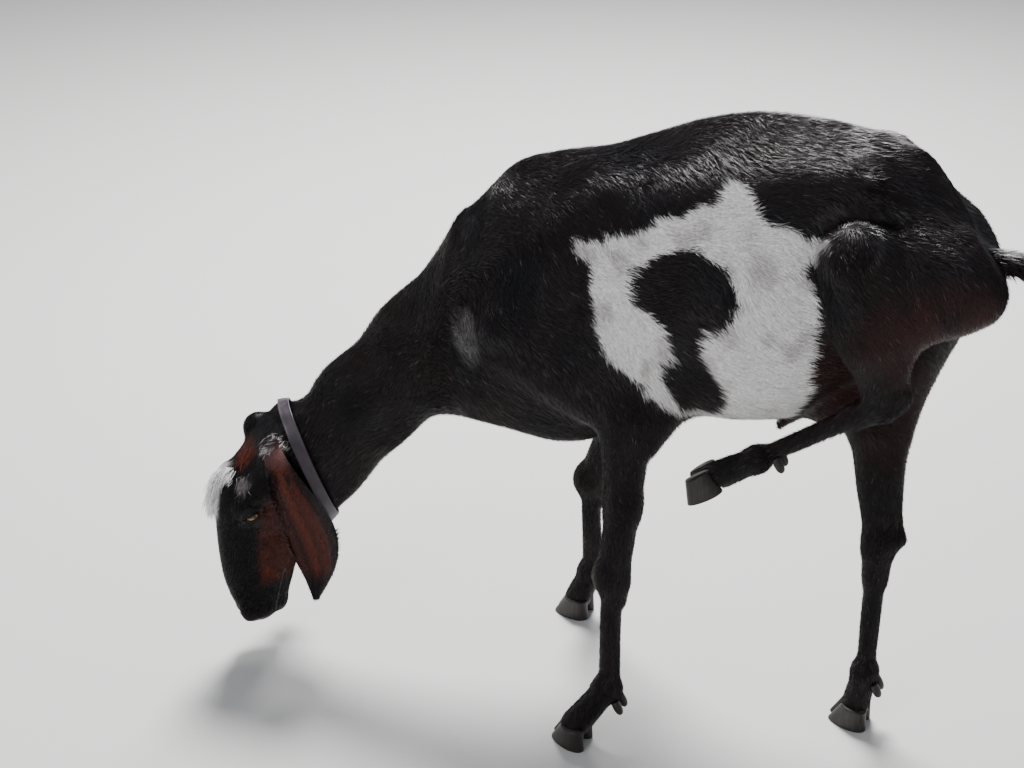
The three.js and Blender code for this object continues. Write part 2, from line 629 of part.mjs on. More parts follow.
// ---------------------------------------------------------------- the goat
const COAT_BLACK = { color: 0x14110f, roughness: 0.5 };
const COAT_BROWN = { color: 0x4a2416, roughness: 0.6 };
const COAT_PIED = { color: 0x55504c, roughness: 0.6 };
const HORN = { color: 0x1d1916, roughness: 0.6 };
const LEATHER = { color: 0x5d5560, roughness: 0.7 };
const EYE_AMBER = { color: 0x9a6a1e, roughness: 0.1 };

const goat = new THREE.Group();
goat.name = 'goat';

function addPart(name, geometry, { color, roughness }) {
  const part = new THREE.Mesh(geometry, new THREE.MeshStandardMaterial({ color, roughness, metalness: 0 }));
  part.name = name;
  goat.add(part);
}

const NAMES = { [LEFT]: 'left', [RIGHT]: 'right' };

// Joins a limb to the body, then parts the two again along the region's border.
function limbBy(body, limb, region) {
  return partBy(body.add(limb), region);
}

// Takes a fitted piece's room, with clearance, out of what holds it, and adds the piece.
function seat(host, name, make, look) {
  addPart(name, make(0), look);
  return host.subtract(solidOf(make(GAP)));
}

let body = solidOf(axialLoft());
const room = solidOf(axialLoft(GAP));    // what the body takes up, with clearance
const fore = (s, leg) => {
  const [inner, outer] = ARMPIT.across;
  const across = s < 0 ? [-outer, -inner] : [inner, outer];
  const along = ARMPIT.along.map((x) => leg.elbow[0] + x);
  const roof = leg.elbow[2] + ARMPIT.roof;
  const region = (grow) => block(along, across, ARMPIT.clear - 20, roof, ARMPIT.slope, grow)
    .add(block(ARMPIT.toe.map((x) => leg.elbow[0] + x), across, -ARMPIT.clear, ARMPIT.clear, 0, grow));
  let whole;
  [body, whole] = limbBy(body, solidOf(foreLoft(leg)), region);
  return whole;
};
const legs = [
  { name: 'foreleg_left', leg: FORE.left, whole: fore(LEFT, FORE.left) },
  { name: 'foreleg_right', leg: FORE.right, whole: fore(RIGHT, FORE.right) },
];
let thigh;
const flank = beyond([348, -102, 700], [0.24, -0.97, -0.12], [18, 300]);
[body, thigh] = limbBy(body, solidOf(raisedCalfLoft(HIND.left)), flank);
thigh = thigh.add(mainBody(solidOf(raisedShankLoft(HIND.left)).subtract(room)));
legs.push({ name: 'hindleg_left', leg: HIND.left, whole: thigh });
const groin = beyond([400, 78, 690], [0, 0.8, -0.6], [-62, 200]);
[body, thigh] = limbBy(body, solidOf(standingHindLoft(HIND.right)), groin);
legs.push({ name: 'hindleg_right', leg: HIND.right, whole: thigh });

for (const { name, leg, whole } of legs) {
  const bend = leg.knee ?? leg.hock;
  const along = unit(sub(leg.fetlock, bend));
  const [upper, lowerWhole] = partBy(whole, beyond(add(bend, mul(along, 30)), along));
  let lower = lowerWhole;
  for (const { s, claw, dewclaw } of footPlaces(leg)) {
    const side = NAMES[s];
    lower = seat(lower, `${name}_claw_${side}`, (grow) => placed(clawGeometry(-s, grow), claw), HORN);
    lower = seat(lower, `${name}_dewclaw_${side}`, (grow) => placed(dewclawGeometry(grow), dewclaw), HORN);
  }
  addPart(`${name}_upper`, geometryOf(upper), COAT_BLACK);
  addPart(`${name}_lower`, geometryOf(mainBody(lower)), COAT_BLACK);
}

const thighRoom = solidOf(standingHindLoft(HIND.right, GAP));
addPart('udder', geometryOf(mainBody(udderSolid().subtract(room).subtract(thighRoom))), COAT_BROWN);
let part;
[body, part] = limbBy(body, solidOf(tailLoft()), beyond([548, 0, 750], [1, 0, 0.1]));
addPart('tail', geometryOf(part), COAT_BLACK);

const neckBase = beyond([-172, 0, 565], [-0.99, 0, 0.14]);
const collarNormal = unit(cross(COLLAR.down, COLLAR.side));
const aheadOfCollar = beyond(COLLAR.at, mul(collarNormal, -1));
const throat = (grow) => block(THROAT.along, THROAT.across, 0, THROAT.roof, 0, grow);
let [trunk, neck] = partBy(body, neckBase);
let head;
[neck, head] = partBy(neck, (grow) => aheadOfCollar(grow).add(throat(grow)));
const collarRoom = solidOf(collarGeometry(GAP));
for (const s of [LEFT, RIGHT]) {
  const ear = mainBody(solidOf(earLoft(s)).subtract(room).subtract(collarRoom));
  addPart(`ear_${NAMES[s]}`, geometryOf(ear), COAT_BROWN);
  const socket = onHead(EYE.at, EYE.front, -s * EYE.left);
  const ball = (grow) => new THREE.SphereGeometry(EYE_R + grow, 12, 7).translate(...socket);
  head = seat(head, `eye_${NAMES[s]}`, ball, EYE_AMBER);
}
addPart('trunk', geometryOf(trunk), COAT_PIED);
addPart('neck', geometryOf(neck), COAT_BLACK);
addPart('head', geometryOf(mainBody(head)), COAT_BROWN);
addPart('collar', geometryOf(mainBody(solidOf(collarGeometry()).subtract(room))), LEATHER);

// The origin is the middle of the box that holds the goat, on the floor.
const box = new THREE.Box3().setFromObject(goat);
const middle = box.getCenter(new THREE.Vector3());
goat.position.set(-middle.x, -middle.y, -box.min.z);

export default goat;
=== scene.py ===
"""The looks of a life-size grazing dairy goat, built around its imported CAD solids.

One skin is drawn through the same blended muscles and bones as the solids, inside them by the coat's depth.
Short hair grows over it in thin closed tufts and longer hair in strands, both as meshes. The markings are
functions of the place.
Lengths are millimetres in the goat's own frame (it faces -X, its left is -Y, +Z up) until a mesh is made.
"""
import math

import bmesh
import bpy
import numpy as np
import openvdb
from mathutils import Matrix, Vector


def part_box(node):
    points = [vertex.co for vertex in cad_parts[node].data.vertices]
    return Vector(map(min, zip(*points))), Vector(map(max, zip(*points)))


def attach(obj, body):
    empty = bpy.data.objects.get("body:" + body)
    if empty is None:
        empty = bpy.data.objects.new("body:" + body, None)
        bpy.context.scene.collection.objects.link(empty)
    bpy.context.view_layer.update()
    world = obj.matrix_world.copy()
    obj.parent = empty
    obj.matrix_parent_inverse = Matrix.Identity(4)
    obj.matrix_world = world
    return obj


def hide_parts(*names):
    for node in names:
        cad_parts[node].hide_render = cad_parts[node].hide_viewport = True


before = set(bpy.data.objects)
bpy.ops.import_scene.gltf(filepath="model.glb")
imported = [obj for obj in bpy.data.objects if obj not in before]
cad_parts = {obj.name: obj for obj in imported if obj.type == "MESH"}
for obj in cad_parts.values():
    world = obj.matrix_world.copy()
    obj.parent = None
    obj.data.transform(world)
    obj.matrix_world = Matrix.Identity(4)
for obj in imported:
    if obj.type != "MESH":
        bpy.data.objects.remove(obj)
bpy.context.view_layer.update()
MM = 0.001


def vec(*values):
    return np.array(values, float)


# ---------------------------------------------------------------- the goat's dimensions
LEFT, RIGHT = -1, 1
SIDES = {LEFT: "left", RIGHT: "right"}
HEAD_YAW = 48
POLL = vec(-458, -121, 375)
EYE_R = 14.5
EYE_AT = vec(108, 35, 43)           # down the face, towards the face, sideways
ACROSS = vec(0, 1, 0)

# x, top, low, half width, widest at this share of the depth
TRUNK = np.array([
    (-170, 706, 452, 62, 0.45), (-110, 790, 405, 88, 0.44), (-50, 818, 391, 104, 0.44),
    (20, 834, 404, 112, 0.44), (90, 862, 452, 124, 0.42), (160, 890, 482, 139, 0.4),
    (235, 905, 487, 143, 0.4), (310, 904, 505, 124, 0.42), (380, 892, 560, 98, 0.48),
    (440, 870, 620, 76, 0.5), (490, 800, 655, 56, 0.5)], float)

# at, forehead, jaw, half width
HEAD = np.array([
    (-20, -27, -72, 37), (30, 25, -84, 48), (70, 60, -84, 54), (110, 75, -76, 52), (150, 78, -66, 44),
    (190, 78, -53, 37), (225, 76, -46, 33), (255, 71, -37, 31), (285, 62, -27, 29), (308, 48, -16, 24),
], float)

FORE = {
    LEFT: dict(blade=vec(34, -48, 786), shoulder=vec(-72, -98, 590), elbow=vec(112, -112, 500),
               knee=vec(95, -134, 262), fetlock=vec(98, -152, 88), foot=vec(52, -172, 0), turn=10, splay=11),
    RIGHT: dict(blade=vec(14, 48, 782), shoulder=vec(-92, 98, 580), elbow=vec(50, 112, 476),
                knee=vec(-28, 130, 246), fetlock=vec(-25, 131, 82), foot=vec(-52, 128, 0), turn=0, splay=7),
}
HIND = {
    LEFT: dict(hip=vec(466, -60, 742), stifle=vec(382, -118, 768), calf=vec(404, -112, 668),
               hock=vec(424, -96, 578), point=vec(450, -95, 596), fetlock=vec(278, -112, 478),
               ham=vec(518, -52, 712), tendon=(34, 17)),
    RIGHT: dict(hip=vec(464, 58, 732), stifle=vec(396, 90, 580), calf=vec(393, 74, 464),
                hock=vec(424, 46, 280), point=vec(449, 45, 304), fetlock=vec(429, 24, 88),
                ham=vec(492, 50, 700), tendon=(27, 12), foot=vec(414, 20, 0), turn=6, splay=8),
}
RAISED_ANKLE = vec(-44, 0, -30)
RAISED_SOLE = vec(-62, 0, -66)
RAISED_PITCH = -36
CLAW = dict(length=60, width=31, height=34, apart=11.5)
DEWCLAW = dict(length=22, radius=6.5, lean=28)

# at, front, left, half width, how far the turned neck pushes the left ear
EAR = np.array([
    (8, -6, 42, 15, 13), (34, -11, 57, 20, 22), (66, -21, 66, 29, 29), (104, -33, 71, 37, 24),
    (144, -45, 74, 41, 12), (184, -53, 75, 38, 3), (220, -56, 75, 28, 0), (247, -52, 74, 16, 0),
    (264, -47, 73, 7, 0)], float)
EAR_THICK = 2.4
EAR_CUP = 13
EAR_LIFT = vec(-0.45, 0.4, 0.8)

TAIL = [(vec(516, 0, 748), 20), (vec(556, -3, 752), 18), (vec(584, -8, 741), 20), (vec(605, -12, 714), 20),
        (vec(614, -14, 680), 15), (vec(616, -14, 648), 6)]
UDDER = dict(at=vec(350, 0, 545), r=vec(66, 56, 54))
COLLAR = dict(at=vec(-390, -86, 298), down=vec(100, -52, -152), side=vec(-0.574, 0.819, 0), width=18,
              thick=2.6, slack=1.5)


# ---------------------------------------------------------------- vector helpers
def unit(v):
    return v / np.linalg.norm(v)


def units(rows):
    return rows / np.maximum(np.linalg.norm(rows, axis=1), 1e-9)[:, None]


def mix(a, b, t):
    return a * (1 - t) + b * t


def smoothstep(low, high, v):
    t = np.clip((v - low) / (high - low), 0, 1)
    return t * t * (3 - 2 * t)


def blend(a, b, k):
    """Smooth union of two fields."""
    h = np.maximum(k - np.abs(a - b), 0) / k
    return np.minimum(a, b) - h * h * k / 4


def joined(fields, k=0):
    """The union of some fields, blended over k mm."""
    fields = iter(fields)
    d = next(fields)
    for field in fields:
        d = blend(d, field, k) if k else np.minimum(d, field)
    return d


def carve(a, b, k):
    """Field a with field b taken out of it, with a soft edge."""
    return -blend(-a, b, k)


YAW = math.radians(HEAD_YAW)
HEAD_LEFT = vec(math.sin(YAW), -math.cos(YAW), 0)
HEAD_DOWN = vec(0, 0, -1)
HEAD_FACE = np.cross(HEAD_DOWN, HEAD_LEFT)
HEAD_AXES = np.array([HEAD_DOWN, HEAD_FACE, HEAD_LEFT])


def on_head(at, front, left):
    return POLL + at * HEAD_DOWN + front * HEAD_FACE + left * HEAD_LEFT


def in_head(p):
    return (p - POLL) @ HEAD_AXES.T


def on_side(s):
    """Turns the head's measures into those of its other half when s is the right side."""
    return vec(1, 1, -s)


def from_side(h, s):
    """Places given in the left half of the head, put on side s of it in the goat's frame."""
    return POLL + (h * on_side(s)) @ HEAD_AXES


# ---------------------------------------------------------------- field primitives (negative inside)
def taper(p, a, b, ra, rb, side=None, flat=1.0):
    d = p - a
    axis = b - a
    if side is not None:
        d = d + np.outer(d @ side, side) * (1 / flat - 1)
    t = np.clip(d @ axis / (axis @ axis), 0, 1)
    reach = np.linalg.norm(d - t[:, None] * axis, axis=1) - (ra + (rb - ra) * t)
    return reach * (min(1, flat + 0.15) if side is not None else 1)


def lump(p, centre, radii, tilt=0):
    d = p - centre
    s, k = math.sin(math.radians(tilt)), math.cos(math.radians(tilt))
    q = np.stack([d[:, 0] * k + d[:, 2] * s, d[:, 1], d[:, 2] * k - d[:, 0] * s], 1)
    radii = np.asarray(radii, float)
    n = np.linalg.norm(q / radii, axis=1)
    g = np.linalg.norm(q / radii ** 2, axis=1)
    return np.where(g < 1e-9, -radii.min(), n * (n - 1) / np.maximum(g, 1e-9))


def follow(table, column, v):
    """A smooth curve through a column of a table whose first column is the position."""
    xs, ys = table[:, 0], table[:, column]
    last = len(xs) - 1
    slopes = np.array([(ys[min(j + 1, last)] - ys[max(j - 1, 0)]) / (xs[min(j + 1, last)] - xs[max(j - 1, 0)])
                       for j in range(last + 1)])
    i = np.clip(np.searchsorted(xs, v, side="right") - 1, 0, last - 1)
    w = xs[i + 1] - xs[i]
    t = np.clip((v - xs[i]) / w, 0, 1)
    t2, t3 = t * t, t * t * t
    return (ys[i] * (2 * t3 - 3 * t2 + 1) + ys[i + 1] * (3 * t2 - 2 * t3)
            + w * (slopes[i] * (t3 - 2 * t2 + t) + slopes[i + 1] * (t3 - t2)))


def section(across, up, high, low, half, wide, roof, keel):
    mid = low + (high - low) * wide
    above = up > mid
    v = np.abs(up - mid) / np.where(above, high - mid, mid - low)
    n = np.where(above, roof, keel)
    r = (np.abs(across / half) ** n + v ** n) ** (1 / n)
    return np.where(r < 1e-6, -half, np.hypot(across, up - mid) * (1 - 1 / np.maximum(r, 1e-6)))


def ended(round_, beyond):
    """Closes a lofted form past its end stations."""
    return np.where(beyond > 0, np.hypot(np.maximum(round_, 0), beyond) + np.minimum(round_, 0) * 0.2, round_)


# ---------------------------------------------------------------- the goat's forms
def trunk_form(p):
    x = np.clip(p[:, 0], TRUNK[0, 0], TRUNK[-1, 0])
    top, low, half, wide = (follow(TRUNK, c, x) for c in (1, 2, 3, 4))
    roof = 1.9 - 0.15 * np.clip(p[:, 0] / 120, 0, 1)
    d = ended(section(p[:, 1], p[:, 2], top, low, half, wide, roof, 2.2), np.abs(p[:, 0] - x))
    d = blend(d, lump(p, vec(-128, 0, 520), (72, 78, 118), -12), 50)
    d = blend(d, taper(p, vec(440, 0, 772), vec(512, 0, 722), 46, 24), 34)
    for s in (LEFT, RIGHT):
        d = blend(d, taper(p, vec(386, s * 62, 850), vec(470, s * 52, 778), 17, 24), 30)
        d = blend(d, taper(p, vec(486, s * 42, 742), vec(526, s * 32, 722), 26, 17), 24)
        d = blend(d, taper(p, vec(150, s * 40, 806), vec(372, s * 44, 845), 31, 31), 40)
    return d


def turned(degrees):
    a = math.radians(degrees)
    return vec(-math.sin(a), math.cos(a), 0)


def neck_form(p):
    d = taper(p, vec(-108, 0, 602), vec(-232, -12, 498), 122, 84, ACROSS, 0.64)
    d = blend(d, taper(p, vec(-232, -12, 498), vec(-322, -45, 410), 82, 72, turned(12), 0.66), 40)
    d = blend(d, taper(p, vec(-322, -45, 404), vec(-382, -86, 326), 72, 70, turned(26), 0.66), 40)
    return blend(d, taper(p, vec(-382, -86, 326), vec(-411, -108, 283), 70, 68, turned(38), 0.7), 40)


def head_form(p):
    h = in_head(p)
    at = np.clip(h[:, 0], HEAD[0, 0], HEAD[-1, 0])
    front, back, half = (follow(HEAD, c, at) for c in (1, 2, 3))
    d = ended(section(h[:, 2], h[:, 1], front, back, half, 0.58, 2.1, 1.7), np.abs(h[:, 0] - at))
    d = blend(d, lump(h, vec(306, 22, 0), (22, 26, 23)), 16)
    d = blend(d, lump(h, vec(300, -8, 0), (18, 15, 17)), 12)
    d = blend(d, lump(h, vec(140, -66, 2), (50, 33, 31)), 40)
    d = blend(d, lump(h, vec(88, 50, 0), (46, 26, 30)), 20)
    for s in (LEFT, RIGHT):
        d = blend(d, lump(h, vec(110, -38, s * 34), (58, 36, 20)), 22)
        d = blend(d, lump(h, vec(106, 37, s * 40), (25, 22, 14)), 14)
        d = blend(d, lump(h, vec(16, -10, s * 42), (24, 24, 18)), 18)
        d = blend(d, lump(h, vec(300, 42, s * 13), (20, 15, 13)), 10)
    return d


def shoulder_form(p, leg):
    blade, shoulder, elbow = leg["blade"], leg["shoulder"], leg["elbow"]
    s = np.sign(elbow[1])
    d = taper(p, blade, shoulder, 22, 44, ACROSS, 0.66)
    d = blend(d, taper(p, shoulder, elbow, 46, 40, ACROSS, 0.72), 34)
    return blend(d, taper(p, mix(blade, elbow, 0.42), elbow + vec(10, s * -4, 18), 56, 34, ACROSS, 0.56), 44)


def thigh_form(p, leg):
    hip, stifle, calf, ham = leg["hip"], leg["stifle"], leg["calf"], leg["ham"]
    d = taper(p, hip, stifle, 50, 47)
    d = blend(d, taper(p, ham, mix(stifle, calf, 0.9), 28, 32), 44)
    return blend(d, taper(p, mix(hip, ham, 0.35), mix(stifle, calf, 0.5), 50, 42), 36)


def rump_form(p, leg):
    hip, ham, stifle = leg["hip"], leg["ham"], leg["stifle"]
    d = taper(p, hip, mix(hip, stifle, 0.45), 52, 44)
    return d, taper(p, ham, mix(ham, stifle, 0.35), 27, 24)


def fore_leg_form(p, leg):
    elbow, knee, fetlock, foot = leg["elbow"], leg["knee"], leg["fetlock"], leg["foot"]
    s = np.sign(elbow[1])
    d = taper(p, elbow + vec(16, s * 2, 6), elbow + vec(18, s * 2, -30), 22, 14)
    d = blend(d, taper(p, elbow + vec(-12, 0, 10), mix(elbow, knee, 0.55), 41, 26, ACROSS, 0.8), 24)
    d = blend(d, taper(p, mix(elbow, knee, 0.5), knee, 26, 24, ACROSS, 0.8), 16)
    d = blend(d, lump(p, knee + vec(-3, 0, 4), (27, 23, 32)), 12)
    d = blend(d, taper(p, knee + vec(16, 0, -6), knee + vec(14, 0, -34), 9, 8), 10)
    d = blend(d, taper(p, knee + vec(0, 0, -25), fetlock, 17, 15, ACROSS, 0.8), 14)
    d = blend(d, taper(p, mix(knee, fetlock, 0.3), fetlock + vec(9, 0, 0), 12, 12), 8)
    d = blend(d, lump(p, fetlock, (23, 19, 21)), 12)
    return blend(d, taper(p, fetlock, vec(foot[0] + 8, foot[1], 30), 19, 23), 10)


def calf_form(p, leg):
    stifle, calf, hock, point, ham = leg["stifle"], leg["calf"], leg["hock"], leg["point"], leg["ham"]
    d = taper(p, stifle, calf, 48, 37, ACROSS, 0.85)
    d = blend(d, taper(p, calf, hock, 36, 20, ACROSS, 0.82), 24)
    d = blend(d, taper(p, mix(ham, stifle, 0.4), mix(calf, point, 0.55), *leg["tendon"], ACROSS, 0.8), 40)
    return blend(d, taper(p, calf + 16 * unit(point - hock), point, 20, 10.5, ACROSS, 0.85), 14)


def shank_form(p, leg):
    hock, point, fetlock = leg["hock"], leg["point"], leg["fetlock"]
    shin = fetlock - hock
    d = taper(p, point, hock, 12, 22, ACROSS, 0.8)
    d = blend(d, taper(p, hock - 0.08 * shin, hock + 0.22 * shin, 23, 18, ACROSS, 0.78), 14)
    d = blend(d, taper(p, hock + 0.15 * shin, fetlock, 17, 15, ACROSS, 0.8), 14)
    d = blend(d, lump(p, fetlock, (20, 20, 20)), 14)
    ankle = vec(leg["foot"][0] + 8, leg["foot"][1], 30) if "foot" in leg else fetlock + RAISED_ANKLE
    return blend(d, taper(p, fetlock, ankle, 19, 22), 10)


def tail_form(p):
    return joined((taper(p, a, b, ra, rb) for (a, ra), (b, rb) in zip(TAIL, TAIL[1:])), 5)


def udder_form(p):
    x, y, z = UDDER["at"]
    d = lump(p, UDDER["at"], UDDER["r"])
    for s in (LEFT, RIGHT):
        d = blend(d, taper(p, vec(x - 34, y + s * 28, z - 26), vec(x - 64, y + s * 35, z - 54), 13, 7), 10)
    return d


def ear_places(p, s):
    """Where points are on an ear: down it, across it from -1 (rear edge) to 1, above its middle surface, and
    in mm past its edge. The surface's cup and the lift that the neck gives it are undone first."""
    h = in_head(p) * on_side(s)
    flat = h
    across = np.zeros(len(p))
    for _ in range(4):
        at = flat[:, 0]
        front, left, wide, lift = (follow(EAR, c, np.clip(at, EAR[0, 0], EAR[-1, 0])) for c in (1, 2, 3, 4))
        across = np.clip((flat[:, 1] - front) / wide, -1, 1)
        if s == RIGHT:
            break
        flat = h - (lift * (1 - 0.5 * across))[:, None] * EAR_LIFT
    bend = EAR_CUP * wide / 41 * across ** 2
    past = np.maximum(np.abs(flat[:, 1] - front) - wide, 0)
    end = np.maximum(np.maximum(EAR[0, 0] - at, at - EAR[-1, 0] - 4), 0)
    return at, across, flat[:, 2] - (left - bend), np.hypot(past, end)


def ear_form(p, s):
    at, across, above, past = ear_places(p, s)
    ribs = 0.5 * np.cos(across * 16) * smoothstep(20, 60, at)
    root = 3.5 * (1 - smoothstep(10, 60, at))
    half = (EAR_THICK + root + ribs * (above > 0)) * np.sqrt(np.maximum(1 - across ** 4, 0.12))
    return np.hypot(np.maximum(np.abs(above) - half, 0), past) + np.minimum(np.abs(above) - half, 0)


# ---------------------------------------------------------------- regions of the body
def regions(p):
    """The field of each region, without the blends between them."""
    return {
        "trunk": trunk_form(p),
        "shoulder_left": shoulder_form(p, FORE[LEFT]),
        "shoulder_right": shoulder_form(p, FORE[RIGHT]),
        "thigh_left": thigh_form(p, HIND[LEFT]),
        "thigh_right": thigh_form(p, HIND[RIGHT]),
        "neck": neck_form(p),
        "head": head_form(p),
        "foreleg_left": fore_leg_form(p, FORE[LEFT]),
        "foreleg_right": fore_leg_form(p, FORE[RIGHT]),
        "hindleg_left": calf_form(p, HIND[LEFT]),
        "hindleg_left_low": shank_form(p, HIND[LEFT]),
        "hindleg_right": np.minimum(calf_form(p, HIND[RIGHT]), shank_form(p, HIND[RIGHT])),
        "tail": tail_form(p),
        "udder": udder_form(p),
        "ear_left": ear_form(p, LEFT),
        "ear_right": ear_form(p, RIGHT),
    }


def body_form(p):
    """The whole goat out to its coat's tips, without the ears."""
    d = blend(trunk_form(p), neck_form(p), 60)
    d = blend(d, head_form(p), 34)
    for leg in FORE.values():
        shoulder = shoulder_form(p, leg)
        d = blend(d, shoulder, 50)
        d = blend(d, blend(shoulder, fore_leg_form(p, leg), 20), 8)
    thigh = thigh_form(p, HIND[LEFT])
    d = blend(d, thigh, 36)
    d = blend(d, blend(calf_form(p, HIND[LEFT]), shank_form(p, HIND[LEFT]), 14), 16)
    rump, ham = rump_form(p, HIND[RIGHT])
    d = blend(blend(d, rump, 44), ham, 34)
    right = blend(thigh_form(p, HIND[RIGHT]), calf_form(p, HIND[RIGHT]), 30)
    d = blend(d, blend(right, shank_form(p, HIND[RIGHT]), 14), 8)
    d = blend(d, tail_form(p), 14)
    return blend(d, udder_form(p), 12)


# How deep the coat is over the skin, in mm.
COAT = dict(trunk=5.0, shoulder=4.8, thigh=4.6, neck=4.2, head=2.2, foreleg=2.4, hindleg=2.6, tail=7.5,
            udder=1.5, ear=0.6)


def kind(region):
    return region.split("_")[0]


def region_weights(p, spread=14.0):
    """The regions' names, and for each point how much of it belongs to each."""
    fields = regions(p)
    stack = np.stack(list(fields.values()), 1)
    w = np.exp(-np.clip(stack - stack.min(1, keepdims=True), 0, 400) / spread)
    return list(fields), w / w.sum(1, keepdims=True)


def coat_depth(p, names, w):
    """The coat's depth at each point. It is thin over the lower legs and thickens above the knees."""
    depth = np.array([COAT[kind(n)] for n in names])
    legs = np.array([1.0 if kind(n) in ("foreleg", "hindleg") else 0.0 for n in names])
    return w @ depth + (w @ legs) * 1.6 * smoothstep(300, 520, p[:, 2])


# ---------------------------------------------------------------- the face: lids, nostrils and mouth
SLIT = unit(vec(0.5, 0.84, -0.2))          # along the eye's opening, towards the nose, for the left eye
EYE_OUT = unit(vec(0.05, 0.28, 0.96) - SLIT * (SLIT @ vec(0.05, 0.28, 0.96)))
EYE_UP = np.cross(EYE_OUT, SLIT)           # towards the forehead
EYE_UP = EYE_UP * np.sign(EYE_UP @ vec(-1, 0.6, 0))
LID = 1.9                                   # thickness of the lids over the eyeball
OPENING = dict(half_length=11.0, upper=2.0, lower=5.2, dip=1.4)
SOCKET = 60                                 # degrees from the eye's axis, where the lids take over
MOUTH = [(330, 4, 0), (322, 2, 13), (303, -1, 24), (280, -7, 29), (256, -14, 29), (240, -18, 29)]
NOSTRIL = [(309, 55, 7), (317, 46, 15), (312, 35, 21)]


def eye_frame(h, s):
    """Points in an eye's own axes: along its opening, up towards the brow, and outwards."""
    d = h * on_side(s) - EYE_AT
    return d @ SLIT, d @ EYE_UP, d @ EYE_OUT


def capsule_chain(p, knots, radius):
    return joined(taper(p, a, b, radius, radius) for a, b in zip(knots, knots[1:]))


def with_orbit(q, e, s):
    """The skin's field e with the swell of the lids over one eye, and the furrows round them."""
    u, v, w = eye_frame(q, s)
    e = blend(e, np.sqrt(u * u + v * v + w * w) - EYE_R - LID, 9)
    furrow = np.exp(-((np.hypot(u * 0.8, v) - 17 - 0.1 * v) / 2.2) ** 2) * (w > 0)
    tear = np.exp(-((u - 20) / 6) ** 2 - ((v + 1) / 1.8) ** 2) * (w > 0)
    return e + 0.8 * furrow + 1.5 * tear


def with_face(p, d):
    """Adds the face's folds to the skin's field d."""
    h = in_head(p)
    below_poll = h[:, 0] > 40
    if not below_poll.any():
        return d
    q, e = h[below_poll], d[below_poll]
    lean = math.radians(SOCKET)
    for s in (LEFT, RIGHT):
        e = with_orbit(q, e, s)
        u, v, w = eye_frame(q, s)
        e = carve(e, np.hypot(u, v) * math.cos(lean) - w * math.sin(lean), 0.5)
        nostril = capsule_chain(q, [vec(a, f, -s * l) for a, f, l in NOSTRIL], 2.6)
        e = carve(e, nostril, 3.0)
    e = carve(e, mouth_groove(q), 2.4)
    e = carve(e, taper(q, vec(322, 44, 0), vec(331, 20, 0), 1.2, 1.2), 3)
    out = d.copy()
    out[below_poll] = e
    return out


def mouth_groove(h):
    """The line between the lips, which runs along the muzzle's own skin."""
    return joined(capsule_chain(h, [vec(a, f, -s * l) for a, f, l in MOUTH_ON_SKIN], 0.9) for s in SIDES)


def gradient(fn, p, step=0.4):
    """The field's gradient, from four places round each point."""
    corners = np.array([(1, -1, -1), (-1, -1, 1), (-1, 1, -1), (1, 1, 1)], float)
    return sum(np.outer(fn(p + c * step), c) for c in corners) / (4 * step)


def to_surface(fn, p, rounds=3, most=3.0):
    """Moves points along the gradient onto the field's zero."""
    for _ in range(rounds):
        d = fn(p)
        g = gradient(fn, p)
        move = d / np.maximum((g * g).sum(1), 0.05)
        reach = np.abs(move) * np.linalg.norm(g, axis=1)
        move = move * np.minimum(1, most / np.maximum(reach, 1e-6))
        p = p - move[:, None] * g
    return p


def mouth_on_skin():
    """The mouth's knots, moved out to the muzzle's skin."""
    start = np.array([on_head(*k) for k in MOUTH])
    skin = to_surface(lambda p: body_form(p) + COAT["head"], start, rounds=4, most=12)
    return [tuple(row) for row in in_head(skin)]


MOUTH_ON_SKIN = mouth_on_skin()


# ---------------------------------------------------------------- the skin
LOW, HIGH = vec(-560, -215, -6), vec(650, 175, 906)       # corners of the space that holds the skin
VOXEL = 4.4
UNDER_COAT = 3.2                                            # how far in the first, rough skin lies


def level_set(fn, low, high, fine, ratio=4):
    """Points and quads of the surface where fn is zero. Only the blocks near the surface are worked out."""
    coarse = fine * ratio
    count = np.ceil((high - low) / coarse).astype(int)
    cells = np.stack(np.meshgrid(*[np.arange(n) for n in count], indexing="ij"), -1).reshape(-1, 3)
    rough = fn(low + (cells + 0.5) * coarse)
    grid = np.repeat(np.repeat(np.repeat(rough.reshape(count), ratio, 0), ratio, 1), ratio, 2)
    close = cells[np.abs(rough) < coarse * 1.25]
    inside = np.stack(np.meshgrid(*[np.arange(ratio)] * 3, indexing="ij"), -1).reshape(-1, 3)
    voxels = (close[:, None, :] * ratio + inside[None]).reshape(-1, 3)
    grid[tuple(voxels.T)] = fn(low + (voxels + 0.5) * fine)
    volume = openvdb.FloatGrid(float(coarse))
    volume.copyFromArray(np.ascontiguousarray(grid, dtype=np.float32))
    points, quads = volume.convertToQuads(isovalue=0.0)
    return low + (points + 0.5) * fine, quads


def linked(name, data):
    """A new object of the scene."""
    made = bpy.data.objects.new(name, data)
    bpy.context.scene.collection.objects.link(made)
    return made


def mesh_from(name, points, faces):
    """A smooth mesh object from points in mm in the goat's frame."""
    mesh = bpy.data.meshes.new(name)
    mesh.from_pydata(to_row(points).tolist(), [], [tuple(f) for f in faces])
    mesh.update()
    mesh.polygons.foreach_set("use_smooth", np.ones(len(mesh.polygons), bool))
    return linked(name, mesh)


def middle_of(node):
    low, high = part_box(node)
    return np.array(low + high) / 2


# The solids' frame is the goat's, moved. The left eye's middle gives by how much.
SHIFT = middle_of("eye_left") / MM - on_head(*EYE_AT)


def to_row(p):
    return (p + SHIFT) * MM


def from_row(p):
    return p / MM - SHIFT


def points_of(thing):
    co = np.empty(len(thing.data.vertices) * 3)
    thing.data.vertices.foreach_get("co", co)
    return from_row(co.reshape(-1, 3))


